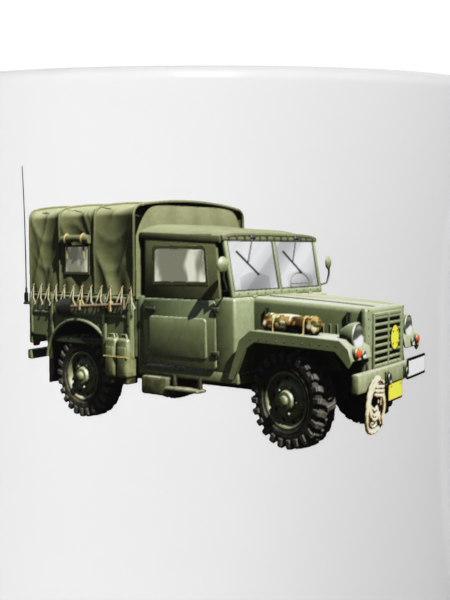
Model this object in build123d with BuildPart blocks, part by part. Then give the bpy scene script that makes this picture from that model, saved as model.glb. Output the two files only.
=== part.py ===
# Glazed drinking mug with a printed picture, made of a thrown-and-cast cup, a cast loop handle
# luted to its side, and the film of the printed picture on its wall.
#
# Frame: +Z up, origin on the cup's axis in the plane the foot ring stands on.
# +X points to the handle, and the printed picture faces -Y. Millimetres.

import os
from math import asin, cos, degrees, pi, radians, sin

from build123d import *

os.makedirs("parts", exist_ok=True)

# ---- cup ---------------------------------------------------------------------------------------
R_OUT = 41.0  # outside radius of the straight wall
HEIGHT = 95.0  # foot to lip
WALL = 4.3  # thickness of the wall
R_IN = R_OUT - WALL  # inside radius of the straight wall
LIP_R_OUT = 2.2  # rounding of the lip, outside
LIP_R_IN = 1.6  # rounding of the lip, inside
FLOOR_Z = 7.2  # height of the cup's floor inside
FLOOR_R = 10.0  # rounding between wall and floor inside
FOOT_R_OUT = 37.2  # outside radius of the foot ring's standing face
FOOT_R_IN = 33.4  # inside radius of the foot ring's standing face
FOOT_RISE = 3.4  # height at which the wall starts to turn in to the foot
RECESS_Z = 1.9  # depth of the recess under the cup
RECESS_R = 32.0  # radius of the flat of the recess

# ---- handle ------------------------------------------------------------------------------------
HANDLE_TOP_Z = 76.0  # centreline of the upper arm
HANDLE_LOW_Z = 20.5  # centreline of the lower arm
HANDLE_TOP_X = 71.0  # centreline of the grip at the upper arm
HANDLE_LOW_X = 68.0  # centreline of the grip at the lower arm
HANDLE_BEND = 20.0  # radius of the two bends of the centreline
HANDLE_W = 13.0  # width of the section, along Y
HANDLE_T = 8.8  # thickness of the section, across the loop
HANDLE_START_X = 36.0  # the arms start inside the wall and are trimmed to it

# flare of each arm where it is luted to the wall
# columns: x of the section, width along Y, thickness along Z
FLARE = [
    (37.0, 24.0, 18.0),
    (41.0, 18.4, 13.6),
    (45.5, 14.2, 9.9),
    (51.0, HANDLE_W, HANDLE_T),
]

# ---- printed picture ---------------------------------------------------------------------------
PRINT_T = 0.10  # thickness of the fired film
PRINT_Z = 40.0  # height of the picture's ground line, where the near front wheel stands
PRINT_U = 3.7  # the picture's middle, measured round the wall from -Y towards +X

# outline of the canvas-covered lorry, in millimetres round the wall and up from the ground line: (u, v),
# from its rear corner along the underside, the wheels, the front, the bonnet and the roof back to the rear
OUTLINE = [
    (-32.3, 21.2), (-31.2, 20.7), (-31.0, 15.6), (-30.3, 15.0), (-29.1, 15.6),
    (-28.1, 15.7), (-27.9, 15.3), (-28.1, 14.8), (-31.3, 14.4), (-31.4, 13.3),
    (-27.8, 13.4), (-27.5, 9.9), (-26.2, 9.9), (-25.5, 9.4), (-25.7, 8.5),
    (-25.0, 8.0), (-25.2, 7.2), (-24.8, 6.8), (-24.4, 6.9), (-24.4, 6.2),
    (-23.5, 5.9), (-23.3, 5.3), (-22.1, 4.8), (-18.6, 5.3), (-16.9, 6.6),
    (-15.9, 9.2), (-14.1, 9.5), (-13.5, 10.3), (-13.0, 10.1), (-12.8, 8.2),
    (-8.7, 7.4), (-4.1, 8.2), (-4.4, 9.0), (-4.2, 9.4), (2.3, 8.7),
    (3.2, 8.1), (2.6, 7.4), (3.4, 6.4), (2.9, 5.6), (3.7, 4.9),
    (3.5, 3.8), (4.5, 3.3), (4.2, 2.8), (4.4, 2.2), (5.3, 2.2),
    (5.4, 1.3), (5.9, 1.0), (6.4, 1.2), (6.7, 0.4), (7.6, 0.5),
    (8.3, 0.0), (11.4, 0.5), (13.5, 1.6), (15.0, 4.2), (15.4, 6.6),
    (17.6, 4.4), (20.2, 3.7), (20.9, 2.3), (22.3, 2.4), (23.7, 3.6),
    (23.8, 4.9), (24.6, 5.4), (25.6, 7.0), (27.1, 7.6), (27.6, 10.1),
    (32.2, 11.1), (32.5, 12.5), (32.4, 13.7), (32.1, 13.9), (28.2, 13.0),
    (27.8, 13.2), (27.7, 15.1), (28.2, 14.7), (29.8, 15.0), (30.5, 14.5),
    (31.0, 15.0), (31.2, 16.1), (29.6, 17.7), (29.2, 19.2), (27.8, 19.6),
    (27.5, 21.0), (14.1, 22.1), (13.1, 22.9), (12.1, 30.4), (6.8, 31.3),
    (1.7, 31.6), (1.1, 34.2), (-3.6, 35.4), (-9.8, 35.6), (-26.3, 35.0),
    (-30.5, 34.5), (-31.3, 33.4), (-31.2, 21.8), (-31.6, 21.5), (-32.0, 23.3),
]
# the thin aerial at the rear corner, a tapering strip: (u, v)
AERIAL = [
    (-32.02, 22.5), (-32.43, 35.0), (-32.79, 40.9),
    (-32.67, 40.9), (-32.27, 35.0), (-31.82, 22.5),
]


def on_front(u):
    """The X that a distance u round the wall from -Y projects to."""
    return R_OUT * sin(u / R_OUT)


# ---- cup_body: one revolved casting ------------------------------------------------------------
with BuildPart() as cup_body:
    with BuildSketch(Plane.XZ) as profile:
        with BuildLine():
            Polyline(
                (0, RECESS_Z),
                (RECESS_R, RECESS_Z),
                (FOOT_R_IN, 0),
                (FOOT_R_OUT, 0),
                (R_OUT, FOOT_RISE),
                (R_OUT, HEIGHT),
                (R_IN, HEIGHT),
                (R_IN, FLOOR_Z),
                (0, FLOOR_Z),
                close=True,
            )
        make_face()

        def corner(r, z):
            """The profile's corner at that radius and height. In the sketch's own plane Y is the height."""
            return [
                v
                for v in profile.vertices()
                if abs(v.X - r) < 1e-4 and abs(v.Y - z) < 1e-4
            ]

        # columns: corner's radius, corner's height, rounding
        for r, z, rounding in (
            (R_OUT, HEIGHT, LIP_R_OUT),
            (R_IN, HEIGHT, LIP_R_IN),
            (R_IN, FLOOR_Z, FLOOR_R),
            (R_OUT, FOOT_RISE, 3.0),
            (FOOT_R_OUT, 0, 0.6),
            (FOOT_R_IN, 0, 0.6),
            (RECESS_R, RECESS_Z, 1.0),
        ):
            found = corner(r, z)
            assert len(found) == 1, (r, z)
            fillet(found, rounding)
    revolve(axis=Axis.Z)
cup_body.part.label = "cup_body"

# ---- handle: one cast loop, trimmed to the wall it is luted to -----------------------------------
with BuildPart() as handle:
    with BuildLine(Plane.XZ) as centreline:
        FilletPolyline(
            (HANDLE_START_X, HANDLE_TOP_Z),
            (HANDLE_TOP_X, HANDLE_TOP_Z),
            (HANDLE_LOW_X, HANDLE_LOW_Z),
            (HANDLE_START_X, HANDLE_LOW_Z),
            radius=HANDLE_BEND,
        )
    with BuildSketch(Plane(origin=(HANDLE_START_X, 0, HANDLE_TOP_Z), x_dir=(0, 1, 0), z_dir=(1, 0, 0))):
        Ellipse(HANDLE_W / 2, HANDLE_T / 2)
    sweep(path=centreline.wires()[0])
    for arm_z in (HANDLE_TOP_Z, HANDLE_LOW_Z):
        for x, width, thick in FLARE:
            with BuildSketch(Plane(origin=(x, 0, arm_z), x_dir=(0, 1, 0), z_dir=(1, 0, 0))):
                Ellipse(width / 2, thick / 2)
        loft()
    with Locations((0, 0, HEIGHT / 2)):
        Cylinder(R_OUT, HEIGHT * 2, mode=Mode.SUBTRACT)
handle.part.label = "handle"

# ---- printed_picture: the fired film, on the wall ------------------------------------------------
with BuildPart() as printed_picture:
    with Locations((0, 0, HEIGHT / 2)):
        Cylinder(R_OUT + PRINT_T, HEIGHT)
        Cylinder(R_OUT, HEIGHT * 2, mode=Mode.SUBTRACT)
    with BuildSketch(Plane.XZ.offset(R_OUT + 5)) as picture:
        for edge in (OUTLINE, AERIAL):
            with BuildLine():
                Polyline(*[(on_front(PRINT_U + u), PRINT_Z + v) for u, v in edge], close=True)
            make_face()
    extrude(amount=-(R_OUT + 5), mode=Mode.INTERSECT)
printed_picture.part.label = "printed_picture"

# ---- facts -------------------------------------------------------------------------------------
pieces = (cup_body, handle, printed_picture)
for piece in pieces:
    solids = piece.part.solids()
    box = piece.part.bounding_box()
    print(
        f"{piece.part.label}: {len(solids)} solid(s), {piece.part.volume / 1000:.2f} cm3, "
        f"x {box.min.X:.1f}..{box.max.X:.1f}  y {box.min.Y:.1f}..{box.max.Y:.1f}  z {box.min.Z:.1f}..{box.max.Z:.1f}"
    )
print(f"brim volume about {pi * R_IN**2 * (HEIGHT - FLOOR_Z) / 1000:.0f} ml before the roundings")

for piece in pieces:
    export_step(piece.part, f"parts/{piece.part.label}.step")
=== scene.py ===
# A white glazed drinking mug with a printed picture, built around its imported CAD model.
#
# Frame: +Z up, origin on the cup's axis at the foot, +X to the handle, picture on the -Y side.
# Shapes are worked out in millimetres and written to the meshes in metres.

import math

import bmesh
import bpy
import numpy as np
from mathutils import Matrix, Vector
from mathutils.bvhtree import BVHTree


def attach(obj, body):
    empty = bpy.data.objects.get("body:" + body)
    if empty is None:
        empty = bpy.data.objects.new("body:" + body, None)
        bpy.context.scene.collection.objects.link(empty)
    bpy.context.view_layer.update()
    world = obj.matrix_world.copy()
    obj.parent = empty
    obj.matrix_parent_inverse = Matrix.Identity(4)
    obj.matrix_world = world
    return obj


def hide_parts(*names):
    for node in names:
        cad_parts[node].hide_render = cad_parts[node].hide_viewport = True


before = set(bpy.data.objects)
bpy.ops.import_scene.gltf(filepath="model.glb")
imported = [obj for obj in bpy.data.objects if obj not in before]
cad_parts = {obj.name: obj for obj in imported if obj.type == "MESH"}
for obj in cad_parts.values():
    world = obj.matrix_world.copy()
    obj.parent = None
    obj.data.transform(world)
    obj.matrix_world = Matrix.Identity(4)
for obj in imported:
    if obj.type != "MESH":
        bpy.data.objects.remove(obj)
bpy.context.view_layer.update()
MM = 0.001

# ---- sizes, as in the CAD model ------------------------------------------------------------------
R_OUT, R_IN, HEIGHT = 41.0, 36.7, 95.0
LIP_R_OUT, LIP_R_IN = 2.2, 1.6
FLOOR_Z, FLOOR_R = 7.2, 10.0
FOOT_R_OUT, FOOT_R_IN, FOOT_RISE = 37.2, 33.4, 3.4
RECESS_Z, RECESS_R = 1.9, 32.0
ARM_TOP_Z, ARM_LOW_Z = 76.0, 20.5
GRIP_TOP_X, GRIP_LOW_X = 71.0, 68.0
BEND = 20.0
GRIP_W, GRIP_T = 13.0, 8.8


# ---- helpers -------------------------------------------------------------------------------------
def mesh_object(name, verts, faces, smooth=True):
    me = bpy.data.meshes.new(name)
    me.from_pydata([tuple(v) for v in verts], [], [tuple(f) for f in faces])
    me.validate()
    me.update()
    if smooth:
        me.polygons.foreach_set("use_smooth", [True] * len(me.polygons))
    ob = bpy.data.objects.new(name, me)
    bpy.context.scene.collection.objects.link(ob)
    return ob


def rounded_polyline(points, radii, step=0.25):
    """Points of a polyline whose corner i is rounded to radii[i]; the straight runs keep only their ends."""
    out = []
    pts = [np.array(p, float) for p in points]
    for i, p in enumerate(pts):
        r = radii[i]
        if r <= 0 or i in (0, len(pts) - 1):
            out.append(p)
            continue
        a = pts[i - 1] - p
        b = pts[i + 1] - p
        a /= np.linalg.norm(a)
        b /= np.linalg.norm(b)
        half = math.acos(max(-1.0, min(1.0, float(a @ b)))) / 2
        reach = r / math.tan(half)
        start, end = p + a * reach, p + b * reach
        mid = p + (a + b) / np.linalg.norm(a + b) * (r / math.sin(half))
        va, vb = start - mid, end - mid
        sweep = math.acos(max(-1.0, min(1.0, float(va @ vb) / (r * r))))
        n = max(4, int(math.ceil(r * sweep / step)))
        for k in range(n + 1):
            t = k / n
            w = (math.sin((1 - t) * sweep) * va + math.sin(t * sweep) * vb) / math.sin(sweep)
            out.append(mid + w)
    return out


def divided(points, longest):
    """The same line with its runs cut to at most longest."""
    out = [points[0]]
    for a, b in zip(points[:-1], points[1:]):
        n = max(1, int(math.ceil(np.linalg.norm(b - a) / longest)))
        out += [a + (b - a) * (k / n) for k in range(1, n + 1)]
    return out


def wall_out(theta, z):
    """Outside radius of the cast wall: round to within a tenth of a millimetre, as a slip-cast cup is."""
    return (
        R_OUT
        + 0.035 * np.sin(2 * theta + 0.7)
        + 0.022 * np.sin(3 * theta - 1.1 + 0.02 * z)
        + 0.018 * np.sin(0.071 * z + 0.4 + np.sin(theta))
    )


# ---- materials -----------------------------------------------------------------------------------
def new_material(name):
    mat = bpy.data.materials.new(name)
    mat.use_nodes = True
    nt = mat.node_tree
    bsdf = next(n for n in nt.nodes if n.type == "BSDF_PRINCIPLED")
    return mat, nt, bsdf


def add(nt, kind, **settings):
    node = nt.nodes.new(kind)
    for key, value in settings.items():
        if key in node.inputs:
            node.inputs[key].default_value = value
        else:
            setattr(node, key, value)
    return node


def object_coords(nt):
    return add(nt, "ShaderNodeTexCoord").outputs["Object"]


def noise(nt, vector, scale, detail=2.0, roughness=0.5):
    n = add(nt, "ShaderNodeTexNoise")
    n.inputs["Scale"].default_value = scale
    n.inputs["Detail"].default_value = detail
    n.inputs["Roughness"].default_value = roughness
    nt.links.new(vector, n.inputs["Vector"])
    return n


def ramp(nt, value, stops):
    r = add(nt, "ShaderNodeValToRGB")
    el = r.color_ramp.elements
    while len(el) < len(stops):
        el.new(0.5)
    for e, (pos, col) in zip(el, stops):
        e.position = pos
        e.color = (*col, 1.0) if len(col) == 3 else col
    nt.links.new(value, r.inputs["Fac"])
    return r


def map_range(nt, value, lo, hi, to_lo, to_hi):
    m = add(nt, "ShaderNodeMapRange")
    m.inputs["From Min"].default_value = lo
    m.inputs["From Max"].default_value = hi
    m.inputs["To Min"].default_value = to_lo
    m.inputs["To Max"].default_value = to_hi
    nt.links.new(value, m.inputs["Value"])
    return m.outputs["Result"]


def glaze_material(name, tint=(0.83, 0.83, 0.83)):
    mat, nt, bsdf = new_material(name)
    co = object_coords(nt)
    # very faint clouding of the glaze over the body
    cloud = noise(nt, co, 28.0, 3.0)
    shade = ramp(
        nt,
        cloud.outputs["Fac"],
        [
            (0.25, tuple(c * 0.985 for c in tint)),
            (0.75, tuple(min(1.0, c * 1.01) for c in tint)),
        ],
    )
    nt.links.new(shade.outputs["Color"], bsdf.inputs["Base Color"])
    # the glaze's own smoothness varies a little
    gloss = noise(nt, co, 60.0, 2.0)
    nt.links.new(
        map_range(nt, gloss.outputs["Fac"], 0.3, 0.7, 0.035, 0.065),
        bsdf.inputs["Roughness"],
    )
    bsdf.inputs["IOR"].default_value = 1.5
    # long low ripples of a fired glaze
    ripple = noise(nt, co, 130.0, 2.0)
    bump = add(nt, "ShaderNodeBump")
    bump.inputs["Strength"].default_value = 0.35
    bump.inputs["Distance"].default_value = 0.00002
    nt.links.new(ripple.outputs["Fac"], bump.inputs["Height"])
    nt.links.new(bump.outputs["Normal"], bsdf.inputs["Normal"])
    return mat


def bare_material(name):
    """The unglazed standing face of the foot: fired body, dry and slightly cream, with fine grit."""
    mat, nt, bsdf = new_material(name)
    co = object_coords(nt)
    grit = noise(nt, co, 2600.0, 3.0, 0.7)
    blotch = noise(nt, co, 120.0, 3.0)
    fine = ramp(nt, grit.outputs["Fac"], [(0.35, (0.50, 0.46, 0.40)), (0.62, (0.70, 0.66, 0.59))])
    broad = ramp(nt, blotch.outputs["Fac"], [(0.3, (0.90, 0.88, 0.85)), (0.7, (1.0, 1.0, 1.0))])
    mix = add(nt, "ShaderNodeMix", data_type="RGBA", blend_type="MULTIPLY")
    mix.inputs[0].default_value = 1.0
    nt.links.new(fine.outputs["Color"], mix.inputs[6])
    nt.links.new(broad.outputs["Color"], mix.inputs[7])
    nt.links.new(mix.outputs[2], bsdf.inputs["Base Color"])
    nt.links.new(map_range(nt, grit.outputs["Fac"], 0.3, 0.7, 0.62, 0.82), bsdf.inputs["Roughness"])
    bump = add(nt, "ShaderNodeBump")
    bump.inputs["Strength"].default_value = 0.5
    bump.inputs["Distance"].default_value = 0.00005
    nt.links.new(grit.outputs["Fac"], bump.inputs["Height"])
    nt.links.new(bump.outputs["Normal"], bsdf.inputs["Normal"])
    return mat


GLAZE = glaze_material("white_glaze")
BARE = bare_material("bare_foot")


# ---- the cup -------------------------------------------------------------------------------------
def cup_mesh():
    # from the middle of the floor inside, over the lip, down the wall and under the foot
    corners = [
        (0.0, FLOOR_Z, 0.0),
        (R_IN, FLOOR_Z, FLOOR_R),
        (R_IN, HEIGHT, LIP_R_IN),
        (R_OUT, HEIGHT, LIP_R_OUT),
        (R_OUT, FOOT_RISE, 3.0),
        (FOOT_R_OUT, 0.0, 0.6),
        (FOOT_R_IN, 0.0, 0.6),
        (RECESS_R, RECESS_Z, 1.0),
        (0.0, RECESS_Z, 0.0),
    ]
    line = rounded_polyline([(r, z) for r, z, _ in corners], [c[2] for c in corners], 0.16)
    line = divided(line, 2.2)
    n = 288
    angle = np.linspace(0, 2 * np.pi, n, endpoint=False)
    verts, faces = [], []
    first, last = None, None
    rings = []
    for i, (r, z) in enumerate(line):
        if r < 1e-6:
            rings.append([len(verts)])
            verts.append((0.0, 0.0, z * MM))
            continue
        # the wall's slight unroundness fades out towards the middle
        share = np.clip((r - 20.0) / 15.0, 0.0, 1.0) if z > 1.0 else 0.0
        grow = (wall_out(angle, z) - R_OUT) * share
        lift = 0.05 * np.sin(2 * angle + 1.9) * np.clip((z - 80.0) / 15.0, 0.0, 1.0)
        ring = []
        for a, g, dz in zip(angle, grow, lift):
            ring.append(len(verts))
            verts.append(((r + g) * math.cos(a) * MM, (r + g) * math.sin(a) * MM, (z + dz) * MM))
        rings.append(ring)
    for a, b in zip(rings[:-1], rings[1:]):
        for k in range(n):
            k2 = (k + 1) % n
            if len(a) == 1:
                faces.append((a[0], b[k], b[k2]))
            elif len(b) == 1:
                faces.append((a[k], b[0], a[k2]))
            else:
                faces.append((a[k], b[k], b[k2], a[k2]))
    ob = mesh_object("cup", verts, faces)
    me = ob.data
    me.materials.append(GLAZE)
    me.materials.append(BARE)
    for p in me.polygons:
        c = p.center
        r = math.hypot(c.x, c.y) / MM
        if c.z / MM < 0.12 and FOOT_R_IN - 0.3 < r < FOOT_R_OUT + 0.3:
            p.material_index = 1
    return ob


cup = cup_mesh()
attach(cup, "root")
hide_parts("cup_body")


# ---- the handle ----------------------------------------------------------------------------------
def handle_mesh():
    """One closed loop of oval section whose ends flare into the wall with a soft fillet."""
    line = rounded_polyline(
        [(R_OUT, ARM_TOP_Z), (GRIP_TOP_X, ARM_TOP_Z), (GRIP_LOW_X, ARM_LOW_Z), (R_OUT, ARM_LOW_Z)],
        [0, BEND, BEND, 0],
        0.8,
    )
    line = divided([np.array(p) for p in line], 0.8)
    pts = np.array(line)
    run = np.concatenate([[0], np.cumsum(np.linalg.norm(np.diff(pts, axis=0), axis=1))])
    total = run[-1]
    # stations: fine near the ends for the fillets
    near = np.concatenate([np.linspace(-0.6, 0.0, 3)[:-1], 4.2 * (1 - np.cos(np.linspace(0, np.pi / 2, 12))), np.arange(4.9, 14.0, 0.7)])
    inner = np.arange(14.5, total - 14.0, 1.0)
    stations = np.concatenate([near, inner, (total - near)[::-1]])
    m = 64
    verts = []
    phi = np.linspace(0, 2 * np.pi, m, endpoint=False)
    for s in stations:
        sc = min(max(s, 0.0), total)
        x = np.interp(sc, run, pts[:, 0])
        z = np.interp(sc, run, pts[:, 1])
        t0 = np.array([np.interp(min(sc + 0.4, total), run, pts[:, i]) for i in (0, 1)])
        t1 = np.array([np.interp(max(sc - 0.4, 0.0), run, pts[:, i]) for i in (0, 1)])
        tan = (t0 - t1) / np.linalg.norm(t0 - t1)
        nor = np.array([-tan[1], tan[0]])  # in the XZ plane, across the path
        d = min(s, total - s)  # distance from the wall along the arm
        # flare: a broad swell over the first 10 mm and a tight fillet at the wall
        swell = np.clip(1 - d / 11.0, 0, 1) ** 2.2
        fil = 3.6
        tight = fil - math.sqrt(max(0.0, fil * fil - (fil - min(max(d, 0.0), fil)) ** 2))
        half_w = GRIP_W / 2 + 2.1 * swell + tight * 0.9
        half_t = GRIP_T / 2 + 1.7 * swell + tight * 0.9
        # a slightly squared oval
        e = 2.35
        cw = np.sign(np.cos(phi)) * np.abs(np.cos(phi)) ** (2 / e)
        ct = np.sign(np.sin(phi)) * np.abs(np.sin(phi)) ** (2 / e)
        y = half_w * cw
        off = half_t * ct
        px = x + nor[0] * off
        pz = z + nor[1] * off
        if d < 9.0:
            # close to the wall the section follows the wall, and its very edge sinks just under the glaze
            under = wall_out(np.arcsin(y / (R_OUT + d)), pz) - 0.02 * (1 - max(d, 0.0) / 9.0)
            wx = np.sqrt((under + d) ** 2 - y**2)
            w = 1 - np.clip(d / 9.0, 0, 1) ** 1.5
            px = px * (1 - w) + wx * w
        for a, b, c in zip(px, y, pz):
            verts.append((a * MM, b * MM, c * MM))
    n = len(stations)
    faces = []
    for i in range(n - 1):
        for k in range(m):
            k2 = (k + 1) % m
            faces.append((i * m + k, i * m + k2, (i + 1) * m + k2, (i + 1) * m + k))
    ob = mesh_object("handle_loop", verts, faces)
    ob.data.materials.append(GLAZE)
    return ob


handle = handle_mesh()
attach(handle, "root")
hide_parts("handle")


# ==== the picture's subject: a small canvas-covered lorry ===========================================
# Its own frame, in metres: x forward, y to its left, z up, the ground at 0.
class Motif:
    """Collects closed and open shapes with a paint name each, and turns them into one mesh to look at."""

    def __init__(self):
        self.verts, self.faces, self.paints, self.names = [], [], [], []

    def paint(self, name):
        if name not in self.names:
            self.names.append(name)
        return self.names.index(name)

    def add(self, verts, faces, paint, place=None):
        base = len(self.verts)
        p = self.paint(paint)
        for v in verts:
            v = Vector(v)
            self.verts.append(tuple(place @ v) if place else tuple(v))
        for f in faces:
            self.faces.append([i + base for i in f])
            self.paints.append(p)

    def from_bmesh(self, bm, paint, place=None):
        bm.verts.index_update()
        self.add([v.co for v in bm.verts], [[v.index for v in f.verts] for f in bm.faces], paint, place)
        bm.free()

    def block(self, x, y, z, paint, r=0.01, seg=2, place=None, taper=None):
        """A box with rounded edges. taper(x, y, z) moves its corners before the edges are rounded."""
        bm = bmesh.new()
        bmesh.ops.create_cube(bm, size=1.0)
        for v in bm.verts:
            v.co = Vector(
                (
                    x[0] if v.co.x < 0 else x[1],
                    y[0] if v.co.y < 0 else y[1],
                    z[0] if v.co.z < 0 else z[1],
                )
            )
            if taper:
                v.co = Vector(taper(*v.co))
        if r > 0:
            bmesh.ops.bevel(bm, geom=bm.edges[:], offset=r, segments=seg, affect="EDGES", profile=0.5)
        self.from_bmesh(bm, paint, place)

    def plate(self, outline, y, paint, r=0.006, place=None, seg=1):
        """A flat outline in x and z, from y[0] to y[1], its edges rounded."""
        bm = bmesh.new()
        low = [bm.verts.new((a, y[0], b)) for a, b in outline]
        f = bm.faces.new(low)
        got = bmesh.ops.extrude_face_region(bm, geom=[f])
        for v in got["geom"]:
            if isinstance(v, bmesh.types.BMVert):
                v.co.y = y[1]
        bmesh.ops.recalc_face_normals(bm, faces=bm.faces[:])
        if r > 0:
            bmesh.ops.bevel(bm, geom=bm.edges[:], offset=r, segments=seg, affect="EDGES", profile=0.5)
        bmesh.ops.triangulate(bm, faces=[f for f in bm.faces if len(f.verts) > 4])
        self.from_bmesh(bm, paint, place)

    def lathe(self, profile, paint, place=None, n=48):
        """Turns (radius, along) about the y axis."""
        verts, faces = [], []
        for r, a in profile:
            for k in range(n):
                t = 2 * math.pi * k / n
                verts.append((r * math.cos(t), a, r * math.sin(t)))
        for i in range(len(profile) - 1):
            for k in range(n):
                k2 = (k + 1) % n
                faces.append((i * n + k, i * n + k2, (i + 1) * n + k2, (i + 1) * n + k))
        self.add(verts, faces, paint, place)

    def tube(self, points, r, paint, n=10, closed=False, place=None):
        pts = [Vector(p) for p in points]
        verts, faces = [], []
        side = None
        count = len(pts)
        for i, p in enumerate(pts):
            a = pts[(i - 1) % count] if closed or i > 0 else p
            b = pts[(i + 1) % count] if closed or i < count - 1 else p
            t = (b - a).normalized()
            if side is None:
                side = t.orthogonal().normalized()
            side = (side - t * side.dot(t)).normalized()
            up = t.cross(side)
            rr = r(i / max(1, count - 1)) if callable(r) else r
            for k in range(n):
                w = 2 * math.pi * k / n
                verts.append(p + side * (rr * math.cos(w)) + up * (rr * math.sin(w)))
        for i in range(count if closed else count - 1):
            j = (i + 1) % count
            for k in range(n):
                k2 = (k + 1) % n
                faces.append((i * n + k, i * n + k2, j * n + k2, j * n + k))
        if not closed:
            faces.append(tuple(range(n)))
            faces.append(tuple(range((count - 1) * n, count * n)))
        self.add(verts, faces, paint, place)

    def laid(self, points, r, paint, closed=False, pitch=0.075, n=12):
        """A rope of three strands laid together along the points."""
        pts = [np.array(q, float) for q in points]
        if closed:
            pts.append(pts[0])
        pts = np.array(pts)
        run = np.concatenate([[0.0], np.cumsum(np.linalg.norm(np.diff(pts, axis=0), axis=1))])
        count = max(8, int(run[-1] / (pitch / 9)))
        at = np.linspace(0.0, run[-1], count + 1)
        line = np.stack([np.interp(at, run, pts[:, k]) for k in range(3)], -1)
        turns = max(1, round(run[-1] / pitch)) if closed else run[-1] / pitch
        verts, faces, side = [], [], None
        for i, q in enumerate(line):
            t = Vector(line[min(i + 1, count)] - line[max(i - 1, 0)]).normalized()
            if side is None:
                side = t.orthogonal().normalized()
            side = (side - t * side.dot(t)).normalized()
            up = t.cross(side)
            for k in range(n):
                w = 2 * math.pi * k / n
                rr = r * (0.80 + 0.24 * abs(math.cos(1.5 * w - math.pi * turns * i / count)))
                verts.append(Vector(q) + side * (rr * math.cos(w)) + up * (rr * math.sin(w)))
        for i in range(count):
            for k in range(n):
                k2 = (k + 1) % n
                faces.append((i * n + k, i * n + k2, (i + 1) * n + k2, (i + 1) * n + k))
        self.add(verts, faces, paint)

    def surface(self, fn, nu, nv, paint, place=None):
        verts = [fn(i / nu, j / nv) for j in range(nv + 1) for i in range(nu + 1)]
        w = nu + 1
        faces = [(j * w + i, j * w + i + 1, (j + 1) * w + i + 1, (j + 1) * w + i) for j in range(nv) for i in range(nu)]
        self.add(verts, faces, paint, place)

    def built(self):
        me = bpy.data.meshes.new("motif")
        me.from_pydata(self.verts, [], self.faces)
        me.update()
        me.polygons.foreach_set("use_smooth", [True] * len(me.polygons))
        me.polygons.foreach_set("material_index", [0] * len(me.polygons))
        me.set_sharp_from_angle(angle=math.radians(34))
        me.calc_loop_triangles()
        nt = len(me.loop_triangles)
        tri_v = np.zeros(nt * 3, np.int32)
        tri_l = np.zeros(nt * 3, np.int32)
        tri_p = np.zeros(nt, np.int32)
        me.loop_triangles.foreach_get("vertices", tri_v)
        me.loop_triangles.foreach_get("loops", tri_l)
        me.loop_triangles.foreach_get("polygon_index", tri_p)
        cn = np.zeros(len(me.loops) * 3, np.float32)
        me.corner_normals.foreach_get("vector", cn)
        co = np.zeros(len(me.vertices) * 3, np.float32)
        me.vertices.foreach_get("co", co)
        out = {
            "co": co.reshape(-1, 3).astype(float),
            "tri": tri_v.reshape(-1, 3),
            "corner": cn.reshape(-1, 3)[tri_l].reshape(-1, 3, 3).astype(float),
            "paint": np.array(self.paints, np.int32)[tri_p],
        }
        bpy.data.meshes.remove(me)
        return out


def turned(z_deg, at=(0, 0, 0)):
    return Matrix.Translation(at) @ Matrix.Rotation(math.radians(z_deg), 4, "Z")


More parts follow.
